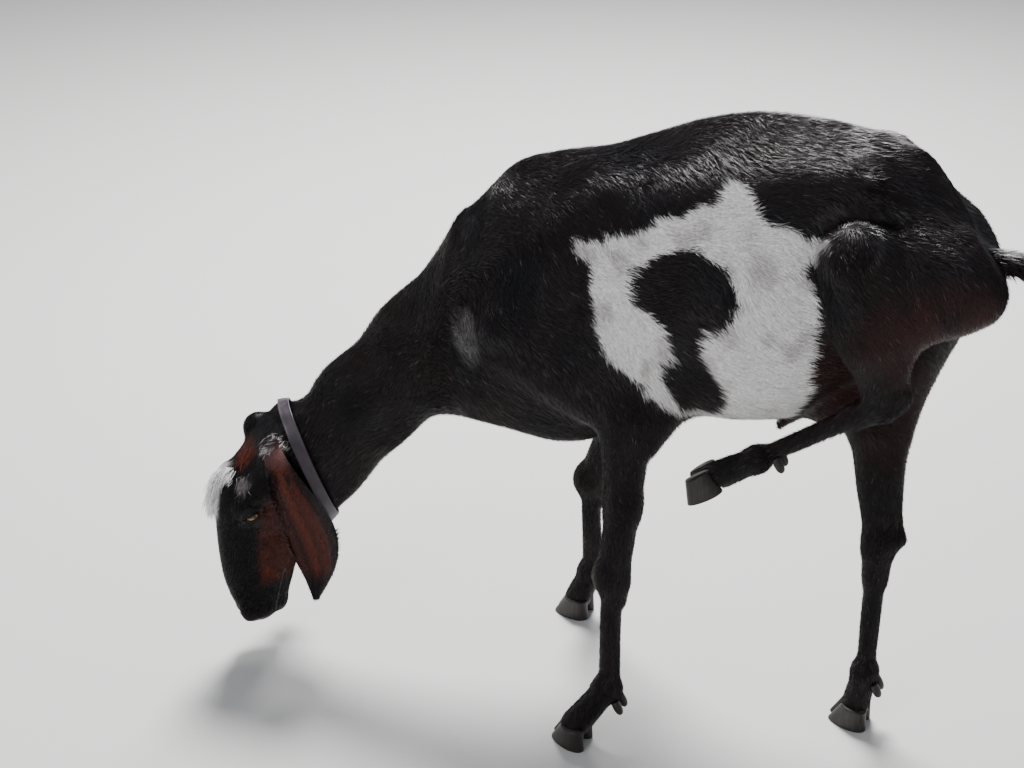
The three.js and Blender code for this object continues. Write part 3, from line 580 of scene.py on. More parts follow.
def set_points(thing, points):
    thing.data.vertices.foreach_set("co", to_row(points).ravel())
    thing.data.update()


def refine(thing, chosen):
    """Splits the faces whose middles `chosen` picks, into four."""
    mesh = bmesh.new()
    mesh.from_mesh(thing.data)
    middles = from_row(np.array([f.calc_center_median() for f in mesh.faces]))
    picked = chosen(middles)
    edges = {e for f, take in zip(mesh.faces, picked) if take for e in f.edges}
    bmesh.ops.subdivide_edges(mesh, edges=list(edges), cuts=1, use_grid_fill=True)
    mesh.to_mesh(thing.data)
    mesh.free()


def by_the_head(p):
    h = in_head(p)
    return (h[:, 0] > -30) & (head_form(p) < 12) & (np.abs(h[:, 2]) < 75)


def by_the_features(p):
    h = in_head(p)
    eyes = joined(np.linalg.norm(h - EYE_AT * on_side(s), axis=1) for s in SIDES)
    return (head_form(p) < 6) & ((h[:, 0] > 285) | (eyes < 26) | ((h[:, 0] > 225) & (h[:, 1] < 16)))


def turns(count):
    """Angles evenly round a circle."""
    return np.linspace(0, 2 * math.pi, count, endpoint=False)


def ear_rings(s, rows=46, around=40):
    """An ear as closed rings: a cupped leaf, with its ridges on the outer side, fading into its root."""
    rings = []
    for at in np.concatenate([np.linspace(2, 240, rows), np.linspace(246, 267, 6)]):
        v = np.array([np.clip(at, EAR[0, 0], EAR[-1, 0])])
        front, left, wide, lift = (float(follow(EAR, c, v)[0]) for c in (1, 2, 3, 4))
        t = turns(around) * s
        across, out = np.cos(t), np.sin(t)
        half = EAR_THICK + 2.6 * (1 - smoothstep(4, 70, at))
        ridges = 0.45 * np.cos(across * 15) * smoothstep(30, 80, at) * (out > 0.2)
        bend = EAR_CUP * (wide / 41) * across ** 2
        h = np.stack([np.full(around, at), front + (wide - 1.2) * across,
                      left + (half + ridges) * np.sign(out) * np.abs(out) ** 0.7 - bend], 1)
        if s == LEFT:
            h = h + (lift * (1 - 0.5 * across))[:, None] * EAR_LIFT
        rings.append(from_side(h, s))
    return rings


def loft(name, rings):
    """A closed mesh from rings of equal length."""
    n = len(rings[0])
    points = np.concatenate([*rings, [rings[0].mean(0)], [rings[-1].mean(0)]])
    faces = []
    for i in range(len(rings) - 1):
        for j in range(n):
            p, q = i * n + j, i * n + (j + 1) % n
            faces.append((p, q, q + n, p + n))
    first, last, end = len(points) - 2, len(points) - 1, (len(rings) - 1) * n
    for j in range(n):
        faces.append((first, (j + 1) % n, j))
        faces.append((last, end + j, end + (j + 1) % n))
    return outwards(mesh_from(name, points, faces))


RIM = [(0.9, 0.15), (-0.2, 0.35), (-0.5, 0.9), (-0.3, 1.5), (0.5, 1.9)]     # mm past the edge, over the ball
LID_SPREAD = (0.09, 0.15, 0.22, 0.3, 0.38, 0.47, 0.56, 0.66, 0.76, 0.86)    # rings from the edge to the end
LID_OUT = 69                                # degrees from the eye's axis, where the lids end inside the skin


def bell(v, middle, width):
    return np.exp(-((v - middle) / width) ** 2)


def lids(s, steps=80):
    """Both lids of an eye as one closed ring: over the eyeball, round the rims, and out into the skin."""
    t = turns(steps)
    high = np.where(np.sin(t) > 0, OPENING["upper"], -OPENING["lower"])
    u = OPENING["half_length"] * np.cos(t)
    v = high * np.sin(t) ** 2 + OPENING["dip"] * np.cos(t)
    edge, turn = np.arcsin(np.hypot(u, v) / EYE_R), np.arctan2(v, u)
    spread = np.unwrap(turn)
    end = math.radians(LID_OUT)

    def ring(lean, above):
        out = np.cos(lean)[:, None] * EYE_OUT
        level = (np.cos(spread) * np.sin(lean))[:, None] * SLIT
        rise = (np.sin(spread) * np.sin(lean))[:, None] * EYE_UP
        return EYE_AT + (EYE_R + above)[:, None] * (out + (level + rise))

    upper, lower = np.maximum(np.sin(t), 0), np.maximum(-np.sin(t), 0)
    rings = [ring(mix(edge, end, w), np.full(steps, 0.15)) for w in (1, 0.7, 0.4, 0.15)]
    rings += [ring(edge + past / EYE_R, np.full(steps, above)) for past, above in RIM]
    for w in LID_SPREAD:
        lean = mix(edge, end, w)
        far = (lean - edge) * EYE_R
        fold = 0.9 * upper * bell(far, 4.6, 1.1) + 0.7 * lower * bell(far, 4.2, 1.2)
        fold = (fold + 0.35 * lower * bell(far, 7.5, 1.1)) * smoothstep(0.02, 0.5, upper + lower)
        blown = ring(lean, LID + 0.5 * bell(far, 2, 1.6) - fold)
        on_skin = to_surface(lambda q: with_orbit(q, body_at(q, s), LEFT), blown, rounds=3, most=6)
        rings.append(mix(blown, on_skin + 0.35 * EYE_OUT, smoothstep(0.3, 0.7, w)))
    rings.append(rings[-1] + (rings[-1] - rings[-2]) * 0.6 - 2.6 * EYE_OUT)
    return tube("lids", [from_side(r, s) for r in rings])


def body_at(q, s):
    """The skin's field, at points on the head given as if its eye s were the left one."""
    return body_form(from_side(q, s)) + COAT["head"]


def tube(name, rings):
    """A closed mesh from rings, whose last ring joins the first."""
    n, count = len(rings[0]), len(rings)
    faces = []
    for i in range(count):
        for j in range(n):
            a, b, k = i * n + j, i * n + (j + 1) % n, (i + 1) % count * n
            faces.append((a, b, k + (j + 1) % n, k + j))
    return outwards(mesh_from(name, np.concatenate(rings), faces))


def outwards(made):
    mesh = bmesh.new()
    mesh.from_mesh(made.data)
    bmesh.ops.recalc_face_normals(mesh, faces=mesh.faces)
    mesh.to_mesh(made.data)
    mesh.free()
    return made


def unite(host, other):
    """Joins another closed mesh to the host for good."""
    union = host.modifiers.new("union", "BOOLEAN")
    union.operation = "UNION"
    union.solver = "MANIFOLD"
    union.object = other
    bpy.context.view_layer.update()
    made = bpy.data.meshes.new_from_object(host.evaluated_get(bpy.context.evaluated_depsgraph_get()))
    host.modifiers.clear()
    host.data = made
    bpy.data.objects.remove(other)


def relax(thing, rounds):
    """Evens out a mesh's vertices between their neighbours."""
    edges = np.empty(len(thing.data.edges) * 2, int)
    thing.data.edges.foreach_get("vertices", edges)
    a, b = edges.reshape(-1, 2).T
    p = points_of(thing)
    count = np.bincount(a, minlength=len(p)) + np.bincount(b, minlength=len(p))
    for _ in range(rounds):
        total = np.stack([np.bincount(a, p[b, k], len(p)) + np.bincount(b, p[a, k], len(p))
                          for k in range(3)], 1)
        p = p * 0.5 + total / count[:, None] * 0.5
    set_points(thing, p)


def make_skin():
    """The whole skin: a level set, finer at the head, brought to its own depth under the coat."""
    points, quads = level_set(lambda p: body_form(p) + UNDER_COAT, LOW, HIGH, VOXEL)
    skin = mesh_from("skin", points, quads)
    refine(skin, by_the_head)
    refine(skin, by_the_features)
    relax(skin, 2)
    p = points_of(skin)
    depth = coat_depth(p, *region_weights(p))
    p = to_surface(lambda q: body_form(q) + depth, p, rounds=2)
    head = by_the_head(p)
    deep = depth[head]
    p[head] = to_surface(lambda q: with_face(q, body_form(q) + deep), p[head], rounds=4, most=1.5)
    set_points(skin, p)
    for s in SIDES:
        unite(skin, loft("ear", ear_rings(s)))
        unite(skin, lids(s))
    return skin


# ---------------------------------------------------------------- eyes, claws and collar
def ball(name, centre, radius, rows=64, around=96):
    """A fine sphere, and the directions of its points from its centre."""
    lean, turn = np.linspace(0, math.pi, rows), turns(around)
    dirs = [np.stack([np.sin(a) * np.cos(turn), np.sin(a) * np.sin(turn), np.full(around, math.cos(a))], 1)
            for a in lean[1:-1]]
    rings = [centre + radius * d for d in dirs]
    made = loft(name, rings)
    return made, units(points_of(made) - centre)


PUPIL = (6.0, 2.6)          # half of the pupil's width and height
IRIS = 9.6                  # radius over the eyeball


def eye(s):
    """An eyeball whose pupil is a level bar, as a goat's stays however it holds its head."""
    centre = on_head(*(EYE_AT * on_side(s)))
    gaze = (EYE_OUT * on_side(s)) @ HEAD_AXES
    level = unit(np.cross(vec(0, 0, 1), gaze))
    rise = np.cross(gaze, level)
    made, out = ball(f"eye_{SIDES[s]}_ball", centre, EYE_R)
    front = out @ gaze
    a, b = EYE_R * (out @ level), EYE_R * (out @ rise)
    far = np.where(front > 0, np.hypot(a, b), 99)
    swell = 0.5 * smoothstep(IRIS, 5, far)
    set_points(made, centre + out * (EYE_R + swell)[:, None])
    bar = np.hypot(np.maximum(np.abs(a) - PUPIL[0] + PUPIL[1], 0), b) - PUPIL[1]
    streaks = 0.5 + 0.5 * np.sin(np.arctan2(b, a) * 46 + 5 * np.sin(np.arctan2(b, a) * 7 + far * 0.4))
    iris = mix(AMBER * 0.75, AMBER * 1.25, streaks[:, None])
    iris = mix(iris, AMBER * 0.35, smoothstep(IRIS - 2.2, IRIS, far)[:, None])
    tones = mix(iris, SCLERA, smoothstep(IRIS - 0.3, IRIS + 0.5, far)[:, None])
    tones = mix(PUPIL_BLACK, tones, smoothstep(-0.2, 0.5, bar)[:, None])
    paint(made, tones)
    return made


def foot_places(leg):
    """For each claw and dewclaw of a foot, how its own frame goes into the goat's."""
    raised = "foot" not in leg
    centre = leg["fetlock"] + RAISED_SOLE if raised else leg["foot"]
    pitch = math.radians(RAISED_PITCH) if raised else 0
    lean = math.radians(DEWCLAW["lean"])
    places = []
    for s in SIDES:
        yaw = math.radians(leg.get("turn", 0)) - s * math.radians(leg.get("splay", 6))

        def claw(q, s=s, yaw=yaw):
            x = q[:, 0] * math.cos(yaw) + q[:, 1] * math.sin(yaw)
            y = s * CLAW["apart"] + q[:, 1] * math.cos(yaw) - q[:, 0] * math.sin(yaw)
            c, k = math.cos(pitch), math.sin(pitch)
            return centre + np.stack([x * c + q[:, 2] * k, y, q[:, 2] * c - x * k], 1)

        def dewclaw(q, s=s):
            c, k = math.cos(lean), math.sin(lean)
            root = leg["fetlock"] + (vec(26, s * 10, 12) if raised else vec(16, s * 10, -12))
            return root + np.stack([q[:, 0] * c - q[:, 2] * k, q[:, 1], q[:, 2] * c + q[:, 0] * k], 1)

        places.append((s, claw, dewclaw))
    return places


def claw_mesh(name, inner, settle, around=48):
    """A claw with a rounded rim round its sole and faint growth rings."""
    rings = []
    for z in np.concatenate([[0, 0.6, 1.6, 3], np.linspace(5, CLAW["height"], 22)]):
        t = turns(around)
        toe = (1 - np.cos(t)) / 2
        back = 0.32 * z / CLAW["height"]
        rim = 1 - 0.05 * (1 - min(z, 3) / 3) ** 2
        rib = 1 - 0.008 * (0.5 + 0.5 * math.cos(z * 1.5))
        x = np.cos(t) * CLAW["length"] / 2 * rim * rib + back * CLAW["length"] * (toe - 0.12 * (1 - toe))
        half = CLAW["width"] / 2 * rim * rib * (1 - 0.28 * toe) * np.where(np.sin(t) * inner > 0, 0.62, 1)
        rings.append(settle(np.stack([x, half * np.sin(t), np.full(around, z)], 1)))
    return loft(name, rings)


def dewclaw_mesh(name, settle, around=24):
    """A blunt cone that hangs behind the fetlock."""
    length, radius = DEWCLAW["length"], DEWCLAW["radius"]
    rings = []
    for f in np.linspace(0, 1, 16):
        r = radius * (0.9 + 0.1 * math.sin(min(f, 0.5) * math.pi)) * math.sqrt(max(1 - f ** 4, 0.004))
        t = turns(around)
        rings.append(settle(np.stack([r * np.cos(t), r * np.sin(t), np.full(around, -length * f)], 1)))
    return loft(name, rings)


def reach_of(form, start, dirs):
    """How far along each direction the form's surface lies."""
    far = np.zeros(len(dirs))
    for _ in range(60):
        d = form(start + dirs * far[:, None])
        far = far + np.clip(-d * 0.8, -3, 30)
    return far


# The strap's own section: across it in half widths, and over the coat in thicknesses.
STRAP = [
    (-0.93, 0), (-0.5, 0), (0, 0), (0.5, 0), (0.93, 0), (0.99, 0.22), (1, 0.5), (0.99, 0.78), (0.93, 0.96),
    (0.82, 1), (0.78, 0.93), (0.5, 0.97), (0, 1), (-0.5, 0.97), (-0.78, 0.93), (-0.82, 1), (-0.93, 0.96),
    (-0.99, 0.78), (-1, 0.5), (-0.99, 0.22)]


def collar_mesh():
    """A flat strap with rounded edges, which lies on the coat round the neck."""
    e1 = unit(COLLAR["down"])
    normal = unit(np.cross(e1, COLLAR["side"]))
    e2 = np.cross(normal, e1)
    turn = turns(240)
    dirs = np.outer(np.cos(turn), e1) + np.outer(np.sin(turn), e2)
    half, thick, slack = COLLAR["width"] / 2, COLLAR["thick"], COLLAR["slack"]
    start = {off: COLLAR["at"] + normal * off * half for off, _ in STRAP}
    reach = {off: reach_of(body_form, at, dirs) for off, at in start.items()}
    return tube("collar_strap", [
        np.array([start[off] + d * (reach[off][i] + slack + up * thick) for off, up in STRAP])
        for i, d in enumerate(dirs)])


# ---------------------------------------------------------------- colours and markings
def colour(red, green, blue):
    """A colour given as it shows on a screen, as linear light."""
    c = vec(red, green, blue) / 255
    return np.where(c < 0.04045, c / 12.92, ((c + 0.055) / 1.055) ** 2.4)


BLACK, BROWNISH = colour(17, 14, 17), colour(24, 16, 17)
RUFOUS, DARK_RUFOUS = colour(90, 41, 28), colour(54, 28, 25)
WHITE = colour(240, 238, 235)
GREY, PINKISH = colour(142, 132, 134), colour(104, 74, 74)
BARE, CALLUS = colour(26, 21, 21), colour(92, 88, 74)
AMBER, SCLERA, PUPIL_BLACK = colour(214, 132, 40), colour(48, 30, 20), colour(8, 7, 8)

# The white patch on the left flank and the black blob in it, as tapers in a slanted side view (x, z, radius).
FLANK_WHITE = [
    ((110, 692), 60, (112, 636), 56), ((200, 716), 96, (206, 650), 104), ((262, 706), 76, (262, 622), 78),
    ((222, 780), 54, (224, 846), 17), ((268, 778), 36, (346, 795), 8), ((84, 734), 28, (26, 748), 8),
    ((298, 594), 36, (336, 602), 12), ((160, 566), 30, (290, 572), 34), ((92, 742), 30, (190, 786), 34)]
FLANK_BLACK = [
    ((146, 704), 46, (190, 706), 50), ((172, 700), 58, (176, 694), 52), ((172, 652), 26, (178, 606), 17),
    ((178, 592), 27, (206, 566), 24), ((178, 580), 20, (180, 556), 16)]
# On the right flank the patch and its blot have their own shape, in the side view straight on.
RIGHT_WHITE = [
    ((150, 640), 74, (236, 676), 92), ((236, 700), 70, (300, 758), 22), ((130, 610), 52, (84, 566), 18),
    ((200, 600), 70, (262, 560), 46)]
RIGHT_BLACK = [((212, 700), 34, (238, 640), 26), ((238, 640), 24, (206, 590), 12)]


def ripple(p, size, seed):
    """A smooth wobble between about -1 and 1, whose swells are `size` mm apart."""
    rng = np.random.default_rng(seed)
    waves = units(rng.normal(size=(7, 3))) * (2 * math.pi / (size * rng.uniform(0.7, 1.5, 7)))[:, None]
    return np.sin(p @ waves.T + rng.uniform(0, 6.28, 7)).sum(1) / 2.6


def blot(flat, pieces, soft=10):
    """A marking's signed distance in a side view."""
    parts = (taper(flat, vec(xa, 0, za), vec(xb, 0, zb), ra, rb) for (xa, za), ra, (xb, zb), rb in pieces)
    return joined(parts, soft)


def pied(p, jag):
    """How white the trunk is, from 0 to 1. The jag shifts each hair's border, so that the patch is ragged."""
    out = p[:, 1] + 130
    slanted = np.stack([p[:, 0] + 0.259 * out, np.zeros(len(p)), p[:, 2] + 0.482 * out], 1)
    wobble = 4 * ripple(p, 46, 3) + 2.2 * ripple(p, 17, 4) + jag
    left = np.maximum(blot(slanted, FLANK_WHITE), -blot(slanted, FLANK_BLACK)) + wobble
    straight = p * vec(1, 0, 1)
    right = np.maximum(blot(straight, RIGHT_WHITE, 24), -blot(straight, RIGHT_BLACK, 14)) + wobble
    left = np.maximum(left, p[:, 1] - 18)
    right = np.maximum(right, 22 - p[:, 1])
    spot = (np.hypot((slanted[:, 0] + 127) / 24, (slanted[:, 2] - 592) / 34) - 1) * 26 + wobble * 1.5
    spot = np.maximum(spot, p[:, 1])
    white = smoothstep(2.5, -2.5, np.minimum(left, right))
    return np.maximum(white, np.clip(0.11 + 0.05 * jag, 0.02, 0.4) * smoothstep(9, -9, spot))


def near(h, centre, radii):
    """1 in the middle of a soft spot, 0 outside it."""
    return smoothstep(1.25, 0.55, np.linalg.norm((h - centre) / radii, axis=1))


def over(base, top, amount):
    return base + (top - base) * amount[:, None]


def coat_colour(p, names, w, jag):
    """The coat's colour at places on the skin. The jag is a random shift in mm, one for each tuft."""
    share = {k: w[:, [i for i, n in enumerate(names) if kind(n) == k]].sum(1) for k in COAT}
    h = in_head(p)
    c = np.tile(BLACK, (len(p), 1))
    c = over(c, BROWNISH, 0.5 + 0.5 * ripple(p, 90, 11))
    shifted = p + jag[:, None] * vec(0.6, 0.3, 0.6)
    thigh = near(shifted, vec(478, -100, 690), vec(104, 120, 74)) * (0.75 + 0.25 * ripple(p, 40, 12))
    c = over(c, DARK_RUFOUS, np.clip(thigh, 0, 1) * (p[:, 1] < 20))
    c = over(c, DARK_RUFOUS, 0.6 * near(shifted, vec(352, -60, 600), vec(60, 90, 66)))
    c = over(c, DARK_RUFOUS, 0.45 * near(shifted, vec(420, 60, 520), vec(60, 70, 130)))
    c = over(c, DARK_RUFOUS, 0.7 * share["udder"])
    white = over(np.tile(WHITE, (len(p), 1)), GREY, 0.45 * smoothstep(0.35, 1.1, ripple(p, 52, 13)))
    c = over(c, white, pied(p, jag) * (1 - share["head"]) * (1 - share["foreleg"]) * (1 - share["hindleg"]))
    c = face_colour(c, h, share["head"], jag)
    c = ear_colour(c, p, share["ear"], jag)
    tail = share["tail"] * smoothstep(6, -8, p[:, 1] + 8 + jag) * smoothstep(575, 600, p[:, 0])
    c = over(c, GREY, 0.8 * tail)
    knee = near(p, FORE[LEFT]["knee"] + vec(-24, -2, -6), vec(14, 18, 26))
    c = over(c, CALLUS, 0.75 * knee)
    return over(c, BARE, 0.6 * share["foreleg"] * smoothstep(60, 30, p[:, 2]))


def face_colour(c, h, share, jag):
    """Brown cheeks, a black face and muzzle, grey painted highlights on the brow and at the ear's root, and
    painted shade along the mouth.
    """
    side = np.abs(h[:, 2])
    q = np.stack([h[:, 0] + jag * 2, h[:, 1] + jag * 2, side], 1)
    cheek = smoothstep(34, 16, q[:, 1]) * smoothstep(96, 124, q[:, 0]) * smoothstep(262, 236, q[:, 0])
    cheek = cheek * smoothstep(-76, -46, q[:, 1] + 8 * ripple(h, 40, 22))
    cheek = np.maximum(cheek, near(q, vec(104, 6, 50), vec(26, 22, 30)))
    c = over(c, BLACK, share)
    c = over(c, RUFOUS, share * cheek * (0.8 + 0.2 * ripple(h, 22, 21)))
    c = over(c, RUFOUS, 0.75 * share * near(q, vec(28, 26, 12), vec(20, 20, 18)))
    # Painted highlights: grey spots over the left brow and at the left ear's root.
    c = over(c, GREY, 0.35 * share * near(q, vec(64, 44, 38), vec(13, 12, 11)) * (h[:, 2] > 0))
    c = over(c, GREY, 0.4 * share * near(q, vec(6, -6, 48), vec(12, 18, 16)) * (h[:, 2] > 0))
    crest = near(np.stack([h[:, 0] + jag, h[:, 1], h[:, 2]], 1), vec(82, 72, 0), vec(50, 30, 15))
    c = over(c, WHITE, share * crest)
    c = over(c, BARE, share * smoothstep(286, 304, h[:, 0] + jag))
    # Painted shade: the face is darkened along the mouth's groove.
    return c * (1 - 0.7 * share * smoothstep(4, 2, mouth_groove(h)))[:, None]


def ear_colour(c, p, share, jag):
    """Brown outside with dark lengthwise stripes painted as the shade in its folds, a black rear edge and
    tip, greyish pink at the root.
    """
    at, across = np.zeros(len(p)), np.zeros(len(p))
    for s in SIDES:
        own = (in_head(p)[:, 2] * -s) > 0
        at[own], across[own] = ear_places(p[own], s)[:2]
    # Painted shade: dark lengthwise stripes where the ear's folds lie in shade.
    painted_fold_shade = smoothstep(0.1, 0.8, np.cos(across * 11 + 0.6) + 0.15 * jag)
    e = over(np.tile(DARK_RUFOUS * 1.25, (len(p), 1)), RUFOUS * 1.05, 0.5 + 0.5 * np.cos(across * 4))
    e = over(e, BLACK, 0.55 * painted_fold_shade * smoothstep(30, 70, at))
    e = over(e, BLACK, smoothstep(-0.62, -0.86, across + 0.03 * jag))
    e = over(e, BLACK, smoothstep(0.8, 0.97, across + 0.03 * jag) * 0.7)
    e = over(e, BLACK, smoothstep(206, 240, at + jag * 2))
    e = over(e, PINKISH, 0.7 * smoothstep(44, 16, at + jag))
    return over(c, 0, share) + e * share[:, None]


def paint(thing, colours):
    """Keeps a colour for each vertex, which the material reads."""
    layer = thing.data.color_attributes.new("coat", "FLOAT_COLOR", "POINT")
    opaque = np.column_stack([colours, np.ones(len(colours))])
    layer.data.foreach_set("color", opaque.astype(np.float32).ravel())


# ---------------------------------------------------------------- the coat
# For each region: hair length, half width of a tuft, tufts per mm2, and how its hair lies.
NECK_AXIS = unit(vec(303, 108, 319))
SHANK_LEFT = unit(HIND[LEFT]["fetlock"] - HIND[LEFT]["hock"])
CALF_LEFT = unit(HIND[LEFT]["hock"] - HIND[LEFT]["stifle"])
HAIR = {
    "trunk": (16, 0.8, 0.2, vec(1, 0, -0.3)), "shoulder": (14, 0.75, 0.2, vec(0.5, 0, -0.8)),
    "thigh": (14, 0.75, 0.2, vec(0.55, 0, -0.8)), "neck": (14, 0.75, 0.2, NECK_AXIS),
    "head": (6.5, 0.42, 0.5, vec(0, 0, 1)), "ear": (6, 0.4, 0.36, vec(0, 0, -1)),
    "foreleg": (9, 0.55, 0.26, vec(0.1, 0, -1)), "hindleg": (9, 0.55, 0.26, vec(0.1, 0, -1)),
    "tail": (30, 1.1, 0.3, vec(0.5, 0, -0.8)), "udder": (5, 0.5, 0.2, vec(0, 0, -1)),
}
LIES = {"hindleg_left": CALF_LEFT, "hindleg_left_low": SHANK_LEFT}
THIN = 1


def tail_lie(p):
    """The tail's hair points from its root to its tip."""
    knots = np.array([k for k, _ in TAIL])
    nearest = np.argmin(((p[:, None, :] - knots[None, :-1]) ** 2).sum(2), axis=1)
    return units(knots[nearest + 1] - knots[nearest])


def hair_at(p, names, w, normal):
    """For each point: which way its hair lies, its length, the tufts' half width, and their density."""
    lies = np.array([LIES.get(n, HAIR[kind(n)][3]) for n in names])
    flow = w @ lies
    tail = w[:, names.index("tail")][:, None]
    flow = flow + tail * (tail_lie(p) - HAIR["tail"][3])
    flow = units(flow)
    sizes = w @ np.array([HAIR[kind(n)][:3] for n in names])
    swirl = 0.35 * ripple(p, 120, 31) + 0.16 * ripple(p, 38, 32)
    flow = units(flow - normal * (flow * normal).sum(1)[:, None])
    flow = flow * np.cos(swirl)[:, None] + np.cross(normal, flow) * np.sin(swirl)[:, None]
    return flow, sizes[:, 0], sizes[:, 1], sizes[:, 2]


def bald(p):
    """Where no tufts grow: the lips and nose, the eyes' rims, and the standing feet just over the claws."""
    h = in_head(p)
    eyes = joined(np.linalg.norm(h - EYE_AT * on_side(s) - EYE_OUT * on_side(s) * 13, axis=1) for s in SIDES)
    nose = smoothstep(300, 312, h[:, 0]) * (head_form(p) < 8)
    mouth = smoothstep(3, 1.5, mouth_groove(h)) * (head_form(p) < 8)
    rims = smoothstep(13, 9, eyes)
    sole = smoothstep(40, 32, p[:, 2]) * (p[:, 2] < 60)
    return np.clip(nose + mouth + rims + sole, 0, 1)


class Skin:
    """The skin's points, normals and triangles, and what the hair needs to know at each point."""

    def __init__(self, thing):
        mesh = thing.data
        mesh.calc_loop_triangles()
        self.p = points_of(thing)
        normal = np.empty(len(self.p) * 3)
        mesh.vertices.foreach_get("normal", normal)
        self.normal = normal.reshape(-1, 3)
        tri = np.empty(len(mesh.loop_triangles) * 3, int)
        mesh.loop_triangles.foreach_get("vertices", tri)
        self.tri = tri.reshape(-1, 3)
        self.names, self.w = region_weights(self.p)
        ear = np.array([kind(n) == "ear" for n in self.names])
        fields = regions(self.p)
        on_ear = np.minimum(fields["ear_left"], fields["ear_right"]) < 0.4
        on_ear &= np.minimum(fields["head"], fields["neck"]) > 1.5
        self.w = self.w * np.where(ear[None], on_ear[:, None], ~on_ear[:, None])
        self.w = self.w / np.maximum(self.w.sum(1), 1e-9)[:, None]
        self.depth = coat_depth(self.p, self.names, self.w)
        self.flow, self.length, self.width, density = hair_at(self.p, self.names, self.w, self.normal)
        self.density = density * (1 - bald(self.p))


def scatter(skin, rng):
    """Random roots, as dense as each triangle asks. Gives their triangles and the weights of the corners."""
    a, b, c = (skin.p[skin.tri[:, k]] for k in range(3))
    area = np.linalg.norm(np.cross(b - a, c - a), axis=1) / 2
    want = area * skin.density[skin.tri].mean(1) * THIN
    count = np.floor(want + rng.random(len(want))).astype(int)
    tri = np.repeat(np.arange(len(want)), count)
    r = rng.random((len(tri), 2))
    fold = r.sum(1) > 1
    r[fold] = 1 - r[fold]
    return skin.tri[tri], np.column_stack([1 - r.sum(1), r])


def hair_mesh(name, corners, faces, colours, chart, patch):
    """One object of many closed tufts. Every tuft has the same number of corners and the same faces."""
    count, each = corners.shape[:2]
    all_faces = (np.arange(count)[:, None, None] * each + np.array(faces)).reshape(-1, 3)
    mesh = bpy.data.meshes.new(name)
    mesh.vertices.add(count * each)
    mesh.vertices.foreach_set("co", to_row(corners.reshape(-1, 3)).astype(np.float32).ravel())
    mesh.loops.add(all_faces.size)
    mesh.loops.foreach_set("vertex_index", all_faces.ravel().astype(np.int32))
    mesh.polygons.add(len(all_faces))
    mesh.polygons.foreach_set("loop_start", np.arange(0, all_faces.size, 3, dtype=np.int32))
    mesh.polygons.foreach_set("use_smooth", np.zeros(len(all_faces), bool))
    mesh.update(calc_edges=True)
    places = (chart[:, None, :] + np.array(patch)[None] * PATCH / 2).reshape(-1, 2)
    layer = mesh.uv_layers.new(name="OFBake")
    layer.data.foreach_set("uv", places[all_faces.ravel()].astype(np.float32).ravel())
    made = linked(name, mesh)
    paint(made, np.repeat(colours, each, axis=0))
    return made


def tuft_mesh(name, root, normal, lie, length, width, tip, colours, chart):
    """Thin tufts: a corner on each side of the root, a low ridge over it, and a tip."""
    side = np.cross(normal, lie) * width[:, None]
    sunk = normal * 0.5
    ridge = root + normal * (width * 0.3)[:, None] + lie * (length * 0.12)[:, None]
    corners = np.stack([root - side - sunk, root + side - sunk, ridge, tip], 1)
    faces = [(0, 2, 1), (1, 2, 3), (0, 3, 2), (0, 1, 3)]
    return hair_mesh(name, corners, faces, colours, chart, [(-1, -1), (1, -1), (0, -0.2), (0, 1)])


def strand_mesh(name, paths, width, colours, chart):
    """Long locks with three sides. Each path runs from a root to a tip."""
    count, rings = paths.shape[0], paths.shape[1] - 1
    along = units((paths[:, 1:] - paths[:, :-1]).reshape(-1, 3)).reshape(count, rings, 3)
    side = units(np.cross(along.reshape(-1, 3), vec(0.31, 0.2, 0.93))).reshape(count, rings, 3)
    other = np.cross(along, side)
    corners, patch = [], []
    for k in range(rings):
        thick = (width * (1 - 0.75 * (k / rings) ** 1.5))[:, None]
        for j in range(3):
            a = 2 * math.pi * j / 3
            corners.append(paths[:, k] + thick * (math.cos(a) * side[:, k] + math.sin(a) * other[:, k]))
            patch.append((math.cos(a), 2 * k / rings - 1))
    corners.append(paths[:, rings])
    patch.append((0, 1))
    faces = [(0, 2, 1)]
    for k in range(rings - 1):
        for j in range(3):
            p, q = k * 3 + j, k * 3 + (j + 1) % 3
            faces += [(p, q, q + 3), (p, q + 3, p + 3)]
    last = (rings - 1) * 3
    faces += [(last + j, last + (j + 1) % 3, rings * 3) for j in range(3)]
    return hair_mesh(name, np.stack(corners, 1), faces, colours, chart, patch)


PATCH = 0.003                # a tuft's size on its map
MOST_TUFTS = 49000           # in one piece
COAT_SEED, LONG_HAIR_SEED = 17, 5
SKIN_PAINTED_SHADE = 0.8             # painted shade: the skin under the hair is painted darker than the hair
BRIGHTEST = 0.86             # of any hair, in linear light


def side_in(region):
    return LEFT if "left" in region else RIGHT


def axis_of(region):
    """The line that a region is unrolled from."""
    k = kind(region)
    if k in ("trunk", "shoulder", "thigh", "udder"):
        return [vec(-190, 0, 600), vec(540, 0, 700)]
    if k == "neck":
        return [vec(-108, 0, 602), vec(-232, -12, 498), vec(-411, -108, 283)]
    if k in ("head", "ear"):
        return [POLL + vec(0, 0, 30), on_head(330, 20, 0)]
    if k == "tail":
        return [q for q, _ in TAIL]
    if k == "foreleg":
        leg = FORE[side_in(region)]
        return [leg["elbow"], leg["knee"], leg["fetlock"], leg["foot"]]
    leg = HIND[side_in(region)]
    foot = leg.get("foot", leg["fetlock"] + RAISED_ANKLE)
    return [leg["stifle"], leg["calf"], leg["hock"], leg["fetlock"], foot]


